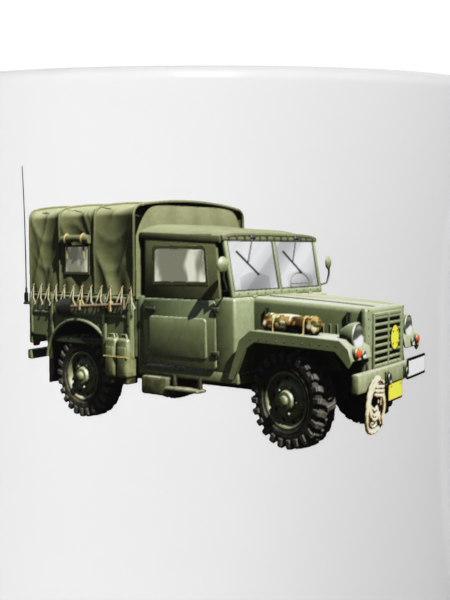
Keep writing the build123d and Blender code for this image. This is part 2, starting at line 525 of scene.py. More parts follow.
def lorry():
    m = Motif()
    FRONT, REAR, TRACK, WR = 1.32, -1.22, 0.73, 0.41

    # ---- wheels
    def wheel(at, out, spin=0.0, steer=0.0):
        """out is +1 or -1, the side that the dish faces along y."""
        base = Matrix.Translation(at) @ Matrix.Rotation(math.radians(steer), 4, "Z") @ Matrix.Rotation(spin, 4, "Y")
        flip = base @ Matrix.Scale(out, 4, (0, 1, 0))
        w = 0.105
        m.lathe(
            [(0.235, -w * 0.8), (0.262, -w * 0.96), (0.315, -w * 1.06), (0.362, -w * 1.0), (0.378, -w * 0.86), (0.385, 0), (0.378, w * 0.86), (0.362, w * 1.0), (0.315, w * 1.06), (0.262, w * 0.96), (0.235, w * 0.8)],
            "tyre",
            flip,
            64,
        )
        # moulded ring on the sidewall
        m.lathe([(0.272, w * 0.99), (0.276, w * 1.05), (0.283, w * 1.065), (0.288, w * 1.03)], "tyre", flip, 64)
        lugs = 24
        for k in range(lugs):
            for s in (-1, 1):
                a = 2 * math.pi * (k + (0.5 if s > 0 else 0.0)) / lugs
                spot = flip @ Matrix.Rotation(a, 4, "Y") @ Matrix.Translation((0, 0, 0.372))
                m.block((-0.026, 0.026), (0.004 * s, s * w * 1.04), (0.0, 0.046), "lug", 0.006, 1, spot @ Matrix.Rotation(s * 0.30, 4, "Z"), lambda x, y, z: (x * (1.0 if z > 0.02 else 1.15), y, z))
                m.block((-0.024, 0.024), (s * w * 0.9, s * w * 1.13), (-0.040, 0.030), "lug", 0.006, 1, spot @ Matrix.Translation((s * -0.028, 0, 0)))
        # rim: flange, well, dish with round holes and the hub
        m.lathe([(0.240, w * 0.74), (0.249, w * 0.90), (0.240, w * 0.97), (0.228, w * 0.90), (0.222, w * 0.55), (0.208, w * 0.30), (0.178, w * 0.34), (0.150, w * 0.62), (0.118, w * 0.70), (0.092, w * 0.66), (0.088, w * 0.95), (0.078, w * 1.12), (0.046, w * 1.16), (0.042, w * 1.42), (0.030, w * 1.50), (0.001, w * 1.52)], "rim", flip, 56)
        for k in range(5):
            a = 2 * math.pi * k / 5 + 0.3
            c = flip @ Matrix.Rotation(a, 4, "Y") @ Matrix.Translation((0, w * 0.68, 0.118))
            m.lathe([(0.016, 0.0), (0.016, 0.018), (0.010, 0.026), (0.001, 0.028)], "nut", c, 6)
        for k in range(10):
            a = 2 * math.pi * (k + 0.5) / 10
            c = flip @ Matrix.Rotation(a, 4, "Y") @ Matrix.Translation((0, w * 0.345, 0.193))
            m.lathe([(0.017, 0.003), (0.001, 0.003)], "hole", c, 14)

    steer = -9.0
    wheel((FRONT, -TRACK, WR), -1, 0.10, steer)
    wheel((FRONT, TRACK, WR), 1, 0.20, steer)
    wheel((REAR, -TRACK, WR), -1, 0.23)
    wheel((REAR, TRACK, WR), 1, 0.0)

    # ---- chassis, axles and springs
    for s in (-1, 1):
        m.block((-2.02, 1.98), (s * 0.40 - 0.03, s * 0.40 + 0.03), (0.52, 0.64), "under", 0.008, 1)
    for ax in (FRONT, REAR):
        m.lathe([(0.045, -0.66), (0.045, 0.66)], "under", Matrix.Translation((ax, 0, WR)), 16)
        m.lathe([(0.001, -0.12), (0.09, -0.10), (0.13, -0.03), (0.13, 0.03), (0.09, 0.10), (0.001, 0.12)], "under", Matrix.Translation((ax, 0.12, WR)), 20)
        for s in (-1, 1):
            m.surface(
                lambda u, v, ax=ax, s=s: (ax - 0.46 + 0.92 * u, s * 0.40 + (v - 0.5) * 0.07, 0.545 - 0.13 * math.sin(math.pi * u) ** 0.8),
                16,
                1,
                "under",
            )
            m.surface(
                lambda u, v, ax=ax, s=s: (ax - 0.46 + 0.92 * u, s * 0.40 - 0.035, 0.545 - 0.13 * math.sin(math.pi * u) ** 0.8 - 0.05 * v * math.sin(math.pi * u)),
                16,
                1,
                "under",
            )
    m.block((-1.9, 1.7), (-0.36, 0.36), (0.50, 0.62), "dark", 0.02, 1)
    m.block((-0.1, 0.62), (-0.30, 0.30), (0.36, 0.52), "under", 0.05, 2)
    m.tube([(0.9, -0.30, 0.44), (0.2, -0.36, 0.42), (-0.6, -0.44, 0.42), (-0.86, -0.58, 0.42), (-0.9, -0.80, 0.42)], 0.028, "rust", 10)

    # ---- front bumper, with its tow eyes
    m.block((2.02, 2.10), (-0.88, 0.88), (0.54, 0.70), "olive", 0.018, 2)
    m.block((1.96, 2.03), (-0.45, -0.36), (0.56, 0.68), "under", 0.01, 1)
    m.block((1.96, 2.03), (0.36, 0.45), (0.56, 0.68), "under", 0.01, 1)
    for s in (-1, 1):
        ring = [(2.145, s * 0.25 + 0.034 * math.cos(t), 0.605 + 0.045 * math.sin(t)) for t in np.linspace(0, 2 * math.pi, 17)[:-1]]
        m.tube(ring, 0.012, "iron", 8, True)
        m.block((2.09, 2.12), (s * 0.25 - 0.04, s * 0.25 + 0.04), (0.57, 0.67), "olive_dark", 0.006, 1)
    # number plates left blank: a white one and a small yellow one under the bumper
    m.block((2.10, 2.116), (0.33, 0.95), (0.530, 0.720), "plate_black", 0.004, 1)
    m.block((2.116, 2.120), (0.356, 0.924), (0.556, 0.694), "plate_white", 0.002, 1)
    m.block((2.088, 2.100), (-0.20, 0.20), (0.385, 0.560), "plate_black", 0.004, 1)
    m.block((2.100, 2.104), (-0.182, 0.182), (0.403, 0.542), "plate_yellow", 0.002, 1)
    for y in (-0.12, 0.12):
        m.block((2.103, 2.112), (y - 0.009, y + 0.009), (0.513, 0.531), "iron", 0.004, 1)

    # ---- radiator guard with level bars, and the lamps
    m.block((1.90, 1.985), (-0.50, 0.50), (0.64, 1.215), "olive", 0.035, 3)
    m.block((1.95, 1.992), (-0.345, 0.345), (0.72, 1.135), "dark", 0.004, 1)
    for k in range(7):
        z = 0.745 + 0.0605 * k
        m.block((1.97, 2.003), (-0.36, 0.36), (z, z + 0.026), "olive", 0.008, 2)
    for y in (-0.352, 0.352):
        m.block((1.975, 2.006), (y - 0.018, y + 0.018), (0.70, 1.155), "olive", 0.008, 2)
    for z in (0.705, 1.150):
        m.block((1.975, 2.006), (-0.368, 0.368), (z - 0.016, z + 0.016), "olive", 0.008, 2)
    m.block((1.975, 2.010), (-0.016, 0.016), (0.70, 1.155), "olive", 0.006, 1)
    for s in (-1, 1):
        c = Matrix.Translation((1.94, s * 0.655, 0.985)) @ Matrix.Rotation(math.radians(-90), 4, "Z")
        m.lathe([(0.060, -0.14), (0.105, -0.06), (0.118, 0.0), (0.120, 0.028), (0.112, 0.040), (0.104, 0.034)], "olive", c, 36)
        m.lathe([(0.104, 0.030), (0.090, 0.046), (0.062, 0.058), (0.030, 0.064), (0.001, 0.066)], "lens", c, 36)
        # small lamp below, and an orange-red one on the wing
        c2 = Matrix.Translation((2.035, s * 0.80, 0.865)) @ Matrix.Rotation(math.radians(-90), 4, "Z")
        m.lathe([(0.044, -0.05), (0.048, 0.012), (0.042, 0.020)], "olive", c2, 24)
        m.lathe([(0.043, 0.014), (0.036, 0.034), (0.018, 0.046), (0.001, 0.049)], "amber", c2, 24)
        c4 = Matrix.Translation((2.035, s * 0.66, 0.845)) @ Matrix.Rotation(math.radians(-90), 4, "Z")
        m.lathe([(0.034, -0.05), (0.037, 0.010), (0.033, 0.016)], "olive", c4, 24)
        m.lathe([(0.033, 0.012), (0.022, 0.024), (0.001, 0.028)], "lens", c4, 24)
    # thin yellow disc on the guard, blank, with a dark rim and four rivets
    disc = Matrix.Translation((2.006, 0.165, 0.925)) @ Matrix.Rotation(math.radians(-90), 4, "Z")
    m.lathe([(0.001, 0.005), (0.106, 0.005)], "disc_yellow", disc, 48)
    m.lathe([(0.106, 0.0055), (0.118, 0.0055), (0.119, -0.002)], "plate_black", disc, 48)
    for dy, dz in ((-0.055, -0.055), (-0.055, 0.055), (0.055, -0.055), (0.055, 0.055)):
        rivet = Matrix.Translation((2.0125, 0.165 + dy, 0.925 + dz)) @ Matrix.Rotation(math.radians(-90), 4, "Z")
        m.lathe([(0.001, 0.006), (0.010, 0.004), (0.013, -0.002)], "plate_black", rivet, 12)

    # ---- bonnet, with catches and side louvres
    def bonnet(x, y, z):
        k = (x - 0.70) / (1.96 - 0.70)
        return (x, y * (1.16 - 0.16 * k), z + (0.055 * (1 - k) if z > 1.0 else 0.0))

    m.block((0.70, 1.955), (-0.47, 0.47), (0.66, 1.205), "olive", 0.045, 4, None, bonnet)
    m.block((0.72, 1.95), (-0.20, 0.20), (1.20, 1.216), "olive", 0.006, 2, None, lambda x, y, z: (x, y * (1.2 if x < 1 else 0.9), z + (0.055 * (1 - (x - 0.70) / 1.26))))
    for k in range(9):
        x = 1.02 + 0.075 * k
        for s in (-1, 1):
            y = s * 0.47 * (1.16 - 0.16 * (x - 0.70) / 1.26)
            m.block((x, x + 0.042), (y - 0.012, y + 0.016), (0.84, 1.06), "olive", 0.008, 2, None, lambda a, b, c, x=x, s=s, y=y: (a, b if a > x + 0.02 or s * (b - y) < 0 else b - s * 0.018, c))
    for x in (0.92, 1.78):
        for s in (-1, 1):
            y = s * 0.47 * (1.16 - 0.16 * (x - 0.70) / 1.26)
            m.block((x - 0.018, x + 0.018), (y - 0.006, y + s * 0.022), (1.08, 1.17), "iron", 0.006, 1)
    # screen hinges and grab handles on the scuttle
    for s in (-1, 1):
        m.block((0.66, 0.76), (s * 0.50 - 0.03, s * 0.50 + 0.03), (1.25, 1.275), "olive", 0.008, 1)

    # ---- flat front wings with rolled edges
    for s in (-1, 1):
        lo, hi = sorted((s * 0.46, s * 0.90))
        top = [(0.74, 0.56), (0.86, 0.90), (0.98, 0.995), (1.90, 0.965), (2.00, 0.90), (2.03, 0.80), (2.005, 0.80), (1.975, 0.885), (1.885, 0.94), (0.985, 0.968), (0.885, 0.885), (0.765, 0.555)]
        m.plate(top, (lo, hi), "olive", 0.005)
        lo, hi = sorted((s * 0.875, s * 0.905))
        skirt = [(0.735, 0.555), (0.855, 0.905), (0.975, 1.0), (1.905, 0.97), (2.008, 0.905), (2.036, 0.795), (2.0, 0.745), (1.945, 0.80), (1.86, 0.872), (1.02, 0.895), (0.93, 0.83), (0.80, 0.545)]
        m.plate(skirt, (lo, hi), "olive", 0.006)
        # inner valance that shuts the engine bay off behind the wheel
        lo, hi = sorted((s * 0.46, s * 0.49))
        m.plate([(0.74, 0.56), (0.86, 0.90), (1.95, 0.92), (2.0, 0.66), (1.72, 0.66), (1.6, 0.8), (1.04, 0.8), (0.92, 0.58)], (lo, hi), "under", 0.004)

    # ---- scuttle, sill, doors and the body behind them
    m.block((0.52, 0.76), (-0.84, 0.84), (0.58, 1.262), "olive", 0.03, 3, None, lambda x, y, z: (x + (0.02 if z < 1 and x > 0.6 else 0), y, z))
    m.block((-0.36, 0.80), (-0.84, 0.84), (0.50, 0.60), "olive", 0.014, 2)
    m.block((-0.40, -0.30), (-0.84, 0.84), (0.50, 1.25), "olive", 0.014, 2)
    for s in (-1, 1):
        ylo, yhi = sorted((s * 0.845, s * 0.865))
        door = [(-0.285, 0.615), (0.555, 0.615), (0.575, 0.64), (0.56, 1.215), (0.545, 1.235), (-0.285, 1.235), (-0.30, 1.21), (-0.30, 0.64)]
        m.plate(door, (ylo, yhi), "olive", 0.008, None, 2)
        ylo, yhi = sorted((s * 0.850, s * 0.880))
        m.plate([(-0.20, 0.70), (0.46, 0.70), (0.478, 0.72), (0.468, 1.05), (0.446, 1.072), (-0.20, 1.072), (-0.218, 1.05), (-0.218, 0.72)], (ylo, yhi), "olive", 0.013, None, 3)
        for z in (0.74, 1.13):
            m.block((0.535, 0.615), (s * 0.872 - 0.012, s * 0.872 + 0.012), (z, z + 0.045), "olive_dark", 0.008, 2)
        m.block((-0.255, -0.135), (s * 0.885 - 0.010, s * 0.885 + 0.010), (1.125, 1.150), "iron", 0.008, 2)
        m.block((-0.165, -0.135), (s * 0.872 - 0.010, s * 0.872 + 0.012), (1.115, 1.160), "iron", 0.006, 1)
        # canvas upper of the door, with its clear pane
        ylo, yhi = sorted((s * 0.800, s * 0.835))
        m.plate([(-0.31, 1.225), (0.60, 1.235), (0.545, 1.80), (0.50, 1.835), (-0.27, 1.84), (-0.31, 1.80)], (ylo, yhi), "canvas", 0.014, None, 2)
        ylo, yhi = sorted((s * 0.835, s * 0.842))
        m.plate([(-0.20, 1.36), (0.475, 1.365), (0.445, 1.70), (0.42, 1.725), (-0.17, 1.73), (-0.20, 1.70)], (ylo, yhi), "canvas_hem", 0.004, None, 1)
        ylo, yhi = sorted((s * 0.842, s * 0.845))
        m.plate([(-0.165, 1.395), (0.440, 1.40), (0.412, 1.675), (0.395, 1.69), (-0.14, 1.695), (-0.165, 1.675)], (ylo, yhi), "pane", 0.002, None, 1)
    # step below the door
    for s in (-1,):
        m.block((0.02, 0.42), (s * 0.94, s * 0.80), (0.395, 0.420), "olive_dark", 0.008, 1)
        for x in (0.06, 0.36):
            m.block((x, x + 0.03), (s * 0.86, s * 0.82), (0.40, 0.53), "under", 0.004, 1)

    # ---- windscreen, leaning back
    lean = Matrix.Translation((0.70, 0, 1.262)) @ Matrix.Rotation(math.radians(-11), 4, "Y")
    H = 0.575
    m.block((-0.018, 0.018), (-0.80, 0.80), (0.0, 0.055), "olive", 0.010, 2, lean)
    m.block((-0.018, 0.018), (-0.80, 0.80), (H - 0.045, H), "olive", 0.010, 2, lean)
    for y in (-0.777, 0.0, 0.777):
        m.block((-0.018, 0.018), (y - 0.023, y + 0.023), (0.0, H), "olive", 0.010, 2, lean)
    for a, b in ((-0.752, -0.025), (0.025, 0.752)):
        m.block((0.001, 0.006), (a, b), (0.055, H - 0.045), "glass", 0.0, 1, lean)
        m.block((0.004, 0.012), (a, b), (0.055, 0.064), "rubber", 0.002, 1, lean)
        m.block((0.004, 0.012), (a, b), (H - 0.054, H - 0.045), "rubber", 0.002, 1, lean)
        m.block((0.004, 0.012), (a, a + 0.009), (0.055, H - 0.045), "rubber", 0.002, 1, lean)
        m.block((0.004, 0.012), (b - 0.009, b), (0.055, H - 0.045), "rubber", 0.002, 1, lean)
        c = (a + b) / 2
        m.tube([lean @ Vector((0.026, c + 0.02, H - 0.03)), lean @ Vector((0.034, c - 0.12, H - 0.26))], 0.007, "rubber", 6)
        m.tube([lean @ Vector((0.020, c - 0.26, H - 0.16)), lean @ Vector((0.022, c + 0.04, H - 0.38))], 0.009, "rubber", 6)
        m.block((0.016, 0.045), (c - 0.02, c + 0.06), (H - 0.045, H + 0.0), "iron", 0.008, 1, lean)
    m.tube([lean @ Vector((0.0075, 0.39 + 0.185 * math.cos(t), 0.085 + 0.120 * math.sin(t))) for t in np.linspace(-0.15, math.pi + 0.15, 30)], 0.0085, "seen_rim", 6)
    m.tube([lean @ Vector((0.0075, 0.21, 0.10)), lean @ Vector((0.0075, 0.57, 0.10))], 0.006, "seen_rim", 6)
    # rivets round the frame
    for y in list(np.arange(-0.70, 0.72, 0.14)):
        for h in (0.028, H - 0.022):
            m.block((0.017, 0.024), (y - 0.008, y + 0.008), (h - 0.008, h + 0.008), "iron", 0.003, 1, lean)
    # mirrors on their arms
    for s in (-1, 1):
        m.tube([(0.64, s * 0.80, 1.32), (0.72, s * 0.90, 1.35), (0.72, s * 0.945, 1.44), (0.72, s * 0.945, 1.56)], 0.010, "iron", 8)
        c = Matrix.Translation((0.715, s * 0.945, 1.56)) @ Matrix.Rotation(math.radians(-90 + s * 8), 4, "Z")
        m.lathe([(0.001, 0.024), (0.040, 0.018), (0.066, 0.003), (0.070, -0.008), (0.065, -0.013), (0.001, -0.011)], "olive", c, 30)

    # ---- cab roof of canvas, slack between the screen and the first hoop
    def roof(u, v):
        x = 0.60 - u * 0.98
        y = -0.83 + 1.66 * v
        edge = (1 - abs(2 * v - 1) ** 5) ** 0.8
        rise = 0.030 + 0.055 * min(1.0, u / 0.25) ** 0.7
        z = 1.795 + rise * edge + 0.055 * u - 0.022 * math.sin(math.pi * u) * (1 - abs(2 * v - 1) ** 2)
        z += 0.006 * math.sin(23 * y + 6 * u) * math.sin(math.pi * u)
        return (x, y, z)

    m.surface(roof, 26, 40, "canvas")
    m.block((-0.36, 0.60), (-0.845, -0.81), (1.745, 1.815), "canvas_hem", 0.014, 2, None, lambda x, y, z: (x, y, z + 0.045 * (0.60 - x) / 0.98))
    m.block((0.545, 0.625), (-0.83, 0.83), (1.765, 1.805), "canvas_hem", 0.015, 2)
    m.tube([(0.602, y, 1.795 + 0.030 * (1 - abs(y / 0.83) ** 5) ** 0.8) for y in np.linspace(-0.829, 0.829, 41)], 0.020, "canvas_hem", 8)
    # lacing along the roof's front edge
    for y in np.arange(-0.74, 0.76, 0.123):
        m.block((0.618, 0.632), (y - 0.010, y + 0.010), (1.770, 1.812), "iron", 0.004, 1)

    # ---- load bed: planked steel sides, posts and the wheel's arch
    for s in (-1, 1):
        lo, hi = sorted((s * 0.855, s * 0.885))
        side = [(-2.10, 0.80), (-1.80, 0.80)]
        for t in np.linspace(198, -18, 15):
            side.append((REAR + 0.53 * math.cos(math.radians(t)), 0.555 + 0.43 * math.sin(math.radians(t))))
        side = [p for p in side if p[1] > 0.62]
        side += [(-0.62, 0.64), (-0.42, 0.64), (-0.42, 1.24), (-2.10, 1.24)]
        m.plate(side, (lo, hi), "olive", 0.006, None, 1)
        # the arch's rolled lip
        lip = [(REAR + 0.535 * math.cos(math.radians(t)), s * 0.895, 0.555 + 0.435 * math.sin(math.radians(t))) for t in np.linspace(176, 4, 26)]
        m.tube(lip, 0.017, "olive", 8)
        # pressed ribs
        for z in (1.03, 1.205):
            lo, hi = sorted((s * 0.880, s * 0.900))
            m.block((-2.09, -0.43), (lo, hi), (z, z + 0.028), "olive", 0.008, 2)
        for x in (-2.06, -1.66, -0.80, -0.45):
            lo, hi = sorted((s * 0.880, s * 0.912))
            m.block((x - 0.025, x + 0.025), (lo, hi), (0.82 if x < -1 else 0.66, 1.25), "olive", 0.008, 2)
    m.block((-2.12, -0.40), (-0.86, 0.86), (0.74, 0.80), "olive_dark", 0.01, 1)
    m.block((-2.13, -2.08), (-0.88, 0.88), (0.70, 1.24), "olive", 0.012, 2)
    m.block((-0.46, -0.40), (-0.86, 0.86), (0.66, 1.24), "olive_dark", 0.01, 1)
    # inside of the rear arch, mud flap, rear lamp
    m.surface(
        lambda u, v: (REAR + 0.52 * math.cos(math.pi * u), -0.87 + 0.32 * v, 0.555 + 0.42 * math.sin(math.pi * u)),
        30,
        2,
        "under",
    )
    m.surface(lambda u, v: (REAR + 0.54 * (2 * u - 1), -0.56, 0.45 + 0.55 * v), 2, 2, "dark")
    m.block((-1.75, -0.68), (-0.62, -0.58), (0.45, 0.80), "dark", 0.01, 1)
    m.block((-1.77, -1.755), (-0.86, -0.62), (0.30, 0.80), "rubber", 0.004, 1)
    m.block((-2.16, -2.12), (-0.80, -0.70), (0.66, 0.74), "red", 0.01, 1)
    m.block((-2.22, -2.14), (-0.84, 0.84), (0.52, 0.62), "olive", 0.012, 2)

    # ---- canvas tilt over four hoops
    hoops = (-2.085, -1.52, -0.95, -0.395)

    def tilt(u, v):
        """u runs front to rear, v over the top from one hem to the other."""
        x = hoops[3] + (hoops[0] - hoops[3]) * u
        # how far this point is from its nearest hoop, 0 at a hoop and 1 midway
        gap = 0.0
        for a, b in zip(hoops[:-1], hoops[1:]):
            if a <= x <= b:
                gap = math.sin(math.pi * (x - a) / (b - a)) ** 0.75
        t = -1 + 2 * v
        # the cross-section: straight sides with a tight shoulder to a low arched top
        girth = 2 * (0.74 + 0.92)
        s = abs(t) * girth / 2
        side = math.copysign(1.0, t)
        top_half, r = 0.80, 0.20
        if s < top_half - 0.02:
            y, z, ny, nz = s, 2.17 - 0.055 * (s / top_half) ** 2, 0.0, 1.0
        elif s < top_half + 0.26:
            k = (s - top_half + 0.02) / 0.28 * math.pi / 2
            y, z, ny, nz = 0.745 + 0.115 * math.sin(k) + 0.02 * math.sin(k), 2.015 + 0.10 * math.cos(k), math.sin(k), math.cos(k)
        else:
            d = s - top_half - 0.26
            y, z, ny, nz = 0.88 + 0.018 * d, 2.015 - d * 1.36, 1.0, 0.0
            gap *= 1 - 0.55 * min(1.0, max(0.0, (d - 0.35) / 0.3))
        sag = 0.045 * gap
        y -= ny * sag
        z -= nz * sag
        # creases: slanting from the tie points, and a few long slack ones
        def crease(q, sharp=2.2):
            return (1 - abs(math.sin(q))) ** sharp

        wr = 0.0
        if ny > 0.2:
            fold = 0.35 + 0.65 * gap
            wr += 0.022 * crease(5.2 * x + 2.6 * z + 0.9 * math.sin(2.1 * z + 3 * x)) * fold
            wr += 0.016 * crease(7.9 * x - 4.3 * z + 1.3 * math.sin(3.7 * x + 1)) * fold
            wr += 0.010 * crease(11.0 * z + 3.1 * x + 1.7 * math.sin(6 * x)) * gap
            low = max(0.0, (1.62 - z) / 0.4)
            wr += 0.020 * low * math.sin(21.66 * (x + 2.02) + 0.5 * math.sin(9 * z)) * (0.5 + 0.5 * gap)
        else:
            wr += 0.016 * crease(6.1 * x + 1.9 * y + 0.8 * math.sin(3 * y)) * gap
        y += wr * ny
        z += wr * nz
        # the hem dips between its ties
        if abs(t) > 0.965:
            z -= 0.018 * abs(math.sin((x - hoops[0]) / 0.145 * math.pi / 2 * 2)) * (abs(t) - 0.965) / 0.035
        return (x, side * y, z)

    m.surface(tilt, 150, 150, "canvas")
    # hoops' seams over the canvas, the hem tape, eyelets and the lacing rope
    n = 60
    for h in hoops:
        u = (h - hoops[3]) / (hoops[0] - hoops[3])
        line = [tilt(u, v) for v in np.linspace(0.012, 0.988, n)]
        m.tube([(p[0], p[1] * 1.002, p[2] + 0.002) for p in line], 0.014, "canvas_hem", 6)
    for s in (0, 1):
        line = [tilt(u, 0.012 if s == 0 else 0.988) for u in np.linspace(0, 1, 90)]
        m.tube(line, 0.012, "canvas_hem", 6)
    ties = list(np.arange(-2.02, -0.42, 0.145))
    for k, x in enumerate(ties):
        u = (x - hoops[3]) / (hoops[0] - hoops[3])
        q = tilt(u, 0.026)
        eye = (x, q[1] - 0.010, q[2] + 0.012)
        m.lathe([(0.007, 0.0), (0.014, -0.006), (0.016, 0.002)], "brass", Matrix.Translation(eye), 12)
        hooks = [(x - 0.0725, -0.918, 1.128), (x + 0.0725, -0.918, 1.128)]
        m.tube([hooks[0], (x - 0.030, -0.922, 1.19), eye, (x + 0.030, -0.922, 1.19), hooks[1]], 0.0065, "lace", 6)
        m.tube([(x + 0.0725 - 0.016, -0.912, 1.150), (x + 0.0725 - 0.014, -0.928, 1.118), (x + 0.0725 + 0.014, -0.928, 1.118), (x + 0.0725 + 0.016, -0.912, 1.150)], 0.006, "iron", 6)
    # front curtain
    m.surface(lambda u, v: (hoops[3] + 0.012 + 0.01 * math.sin(30 * v), -0.87 + 1.74 * v, 1.22 + (0.90 - 0.30 * abs(2 * v - 1) ** 8) * u), 20, 40, "canvas")
    # rolled side flap with two straps on the middle bay
    for bay in ((-1.46, -1.01),):
        x0, x1 = bay
        m.tube([(x, -0.905 - 0.006 * math.sin(9 * x), 1.80 + 0.006 * math.sin(14 * x)) for x in np.linspace(x0, x1, 22)], lambda t: 0.040 + 0.005 * math.sin(9 * t), "canvas", 12)
        for x in (x0 + 0.09, x1 - 0.09):
            ring = [(x, -0.905 + 0.047 * math.cos(t), 1.80 + 0.047 * math.sin(t)) for t in np.linspace(0, 2 * math.pi, 15)[:-1]]
            m.tube(ring, 0.010, "strap", 6, True)
            m.block((x - 0.010, x + 0.010), (-0.915, -0.900), (1.60, 1.77), "strap", 0.003, 1)
        # the clear window the flap uncovers
        m.block((x0 + 0.02, x1 - 0.02), (-0.890, -0.876), (1.44, 1.74), "canvas_hem", 0.006, 1)
        m.block((x0 + 0.05, x1 - 0.05), (-0.893, -0.885), (1.47, 1.72), "pane", 0.003, 1)

    # ---- what hangs on the side: fuel can, toolbox, shovel
    m.block((-0.30, 0.02), (-0.90, -0.62), (0.33, 0.50), "olive_dark", 0.02, 2)
    m.block((-0.75, -0.45), (-0.93, -0.78), (0.40, 0.46), "under", 0.006, 1)

    def can(x0):
        m.block((x0, x0 + 0.155), (-0.955, -0.80), (0.46, 0.84), "can", 0.03, 3)
        m.block((x0 + 0.02, x0 + 0.135), (-0.962, -0.94), (0.50, 0.76), "can", 0.012, 2)
        for k in (-1, 0, 1):
            m.tube([(x0 + 0.035, -0.88 + 0.045 * k, 0.835), (x0 + 0.05, -0.88 + 0.045 * k, 0.875), (x0 + 0.115, -0.88 + 0.045 * k, 0.875), (x0 + 0.13, -0.88 + 0.045 * k, 0.835)], 0.010, "can", 8)
        m.tube([(x0 - 0.004, -0.96, 0.66), (x0 + 0.16, -0.96, 0.66)], 0.009, "strap", 6)

    can(-0.755)
    can(-0.585)
    # shovel along the bed's side
    m.tube([(-0.52, -0.925, 1.165), (-1.30, -0.925, 1.120)], 0.015, "wood", 8)
    m.surface(lambda u, v: (-1.28 - 0.26 * u, -0.925 - 0.02 * math.sin(math.pi * v), 1.121 + (v - 0.5) * (0.19 * (1 - 0.35 * u**3)) - 0.02 * u), 10, 8, "iron")
    m.tube([(-0.50, -0.925, 1.215), (-0.50, -0.925, 1.115)], 0.012, "wood", 8)
    for x in (-0.68, -1.14):
        m.block((x - 0.012, x + 0.012), (-0.948, -0.90), (1.09, 1.19), "strap", 0.004, 1)

    # ---- rope coil hung from the bumper's near end, tied with its own end
    rng = np.random.default_rng(4)
    for k in range(5):
        a, b = 0.100 + 0.020 * k + 0.010 * rng.random(), 0.125 + 0.022 * k + 0.016 * rng.random()
        cy, cz = -0.56 + 0.015 * rng.normal(), 0.615 - b + 0.03
        ring = []
        for t in np.linspace(0, 2 * math.pi, 61)[:-1]:
            y = cy + a * math.cos(t) * (1 - 0.25 * math.sin(t))
            z = cz + b * math.sin(t)
            x = 2.135 + 0.016 * (k % 3) + 0.010 * math.sin(3 * t + k) - 0.035 * (1 - math.sin(t)) * 0.5
            ring.append((x, y, z))
        m.laid(ring, 0.0185, "rope", True)
    m.laid([(2.168 + 0.030 * math.cos(t), -0.56 + 0.075 * math.sin(t), 0.615 - 0.105 * t / 18.9) for t in np.linspace(0, 18.9, 90)], 0.0175, "rope")
    m.laid([(2.17, -0.50, 0.53), (2.19, -0.485, 0.46), (2.185, -0.475, 0.38), (2.17, -0.49, 0.30), (2.165, -0.47, 0.25)], 0.0175, "rope")

    # ---- bedroll of mottled net strapped on the near wing
    def roll(u, v):
        t = 2 * math.pi * v
        x = 0.99 + 0.62 * u
        pinch = 1 - 0.20 * math.exp(-(((u - 0.24) / 0.035) ** 2)) - 0.20 * math.exp(-(((u - 0.76) / 0.035) ** 2))
        end = min(1.0, 12 * u, 12 * (1 - u)) ** 0.5
        r = 0.083 * pinch * end * (1 + 0.05 * math.sin(3 * t + 9 * x) + 0.035 * math.sin(31 * x + 5 * t) + 0.03 * math.sin(17 * x - 7 * t))
        return (x + 0.004 * math.sin(5 * t), -0.715 + r * 1.05 * math.cos(t), 1.055 + r * math.sin(t))

    m.surface(roll, 70, 40, "net")
    for u in (0.24, 0.76):
        x = 0.99 + 0.62 * u
        m.tube([(x, -0.715 + 0.073 * math.cos(t), 1.055 + 0.071 * math.sin(t)) for t in np.linspace(0, 2 * math.pi, 21)[:-1]], 0.011, "strap", 6, True)
        m.tube([(x, -0.785, 1.06), (x + 0.004, -0.80, 0.985), (x, -0.86, 0.972)], 0.009, "strap", 6)

    # ---- rivets
    for z in np.arange(0.70, 1.20, 0.07):
        for y in (-0.455, 0.455):
            m.block((1.983, 1.990), (y - 0.008, y + 0.008), (z - 0.008, z + 0.008), "iron", 0.003, 1)
    for x in (-2.06, -1.66, -0.80, -0.45):
        for z in (0.90, 0.97, 1.12, 1.18):
            m.block((x - 0.008, x + 0.008), (-0.922, -0.910), (z - 0.008, z + 0.008), "iron", 0.003, 1)
    for x in np.arange(0.80, 1.92, 0.09):
        m.block((x - 0.006, x + 0.006), (-0.912, -0.904), (0.915, 0.927), "iron", 0.003, 1)

    # ---- aerial's foot on a bracket at the near rear corner
    m.block((-2.19, -2.11), (-0.945, -0.87), (1.12, 1.14), "iron", 0.005, 1)
    m.tube([(-2.155, -0.912, 1.13), (-2.155, -0.912, 1.24)], 0.026, "rubber", 10)
    m.tube([(-2.155, -0.912, 1.24), (-2.155, -0.912, 1.30)], 0.014, "iron", 8)
    return m


# ==== looking at it ================================================================================
def lattice(seed):
    return np.random.default_rng(seed).random(4096)


def vnoise(p, scale, seed=1, octaves=3):
    """Smooth value noise at points p (n by 3), 0 to 1."""
    table = lattice(seed)
    total, amp, norm = np.zeros(len(p)), 1.0, 0.0
    q = p * scale
    for _ in range(octaves):
        i = np.floor(q).astype(np.int64)
        f = q - i
        f = f * f * (3 - 2 * f)
        acc = np.zeros(len(p))
        for dx in (0, 1):
            for dy in (0, 1):
                for dz in (0, 1):
                    h = (i[:, 0] + dx) * 73856093 ^ (i[:, 1] + dy) * 19349663 ^ (i[:, 2] + dz) * 83492791
                    w = (f[:, 0] if dx else 1 - f[:, 0]) * (f[:, 1] if dy else 1 - f[:, 1]) * (f[:, 2] if dz else 1 - f[:, 2])
                    acc += w * table[h & 4095]
        total += amp * acc
        norm += amp
        amp *= 0.5
        q = q * 2.03 + 17.1
    return total / norm


def rgb(*c):
    """A colour given in screen values 0 to 255, as linear light."""
    c = np.array(c, float) / 255
    return np.where(c <= 0.04045, c / 12.92, ((c + 0.055) / 1.055) ** 2.4)


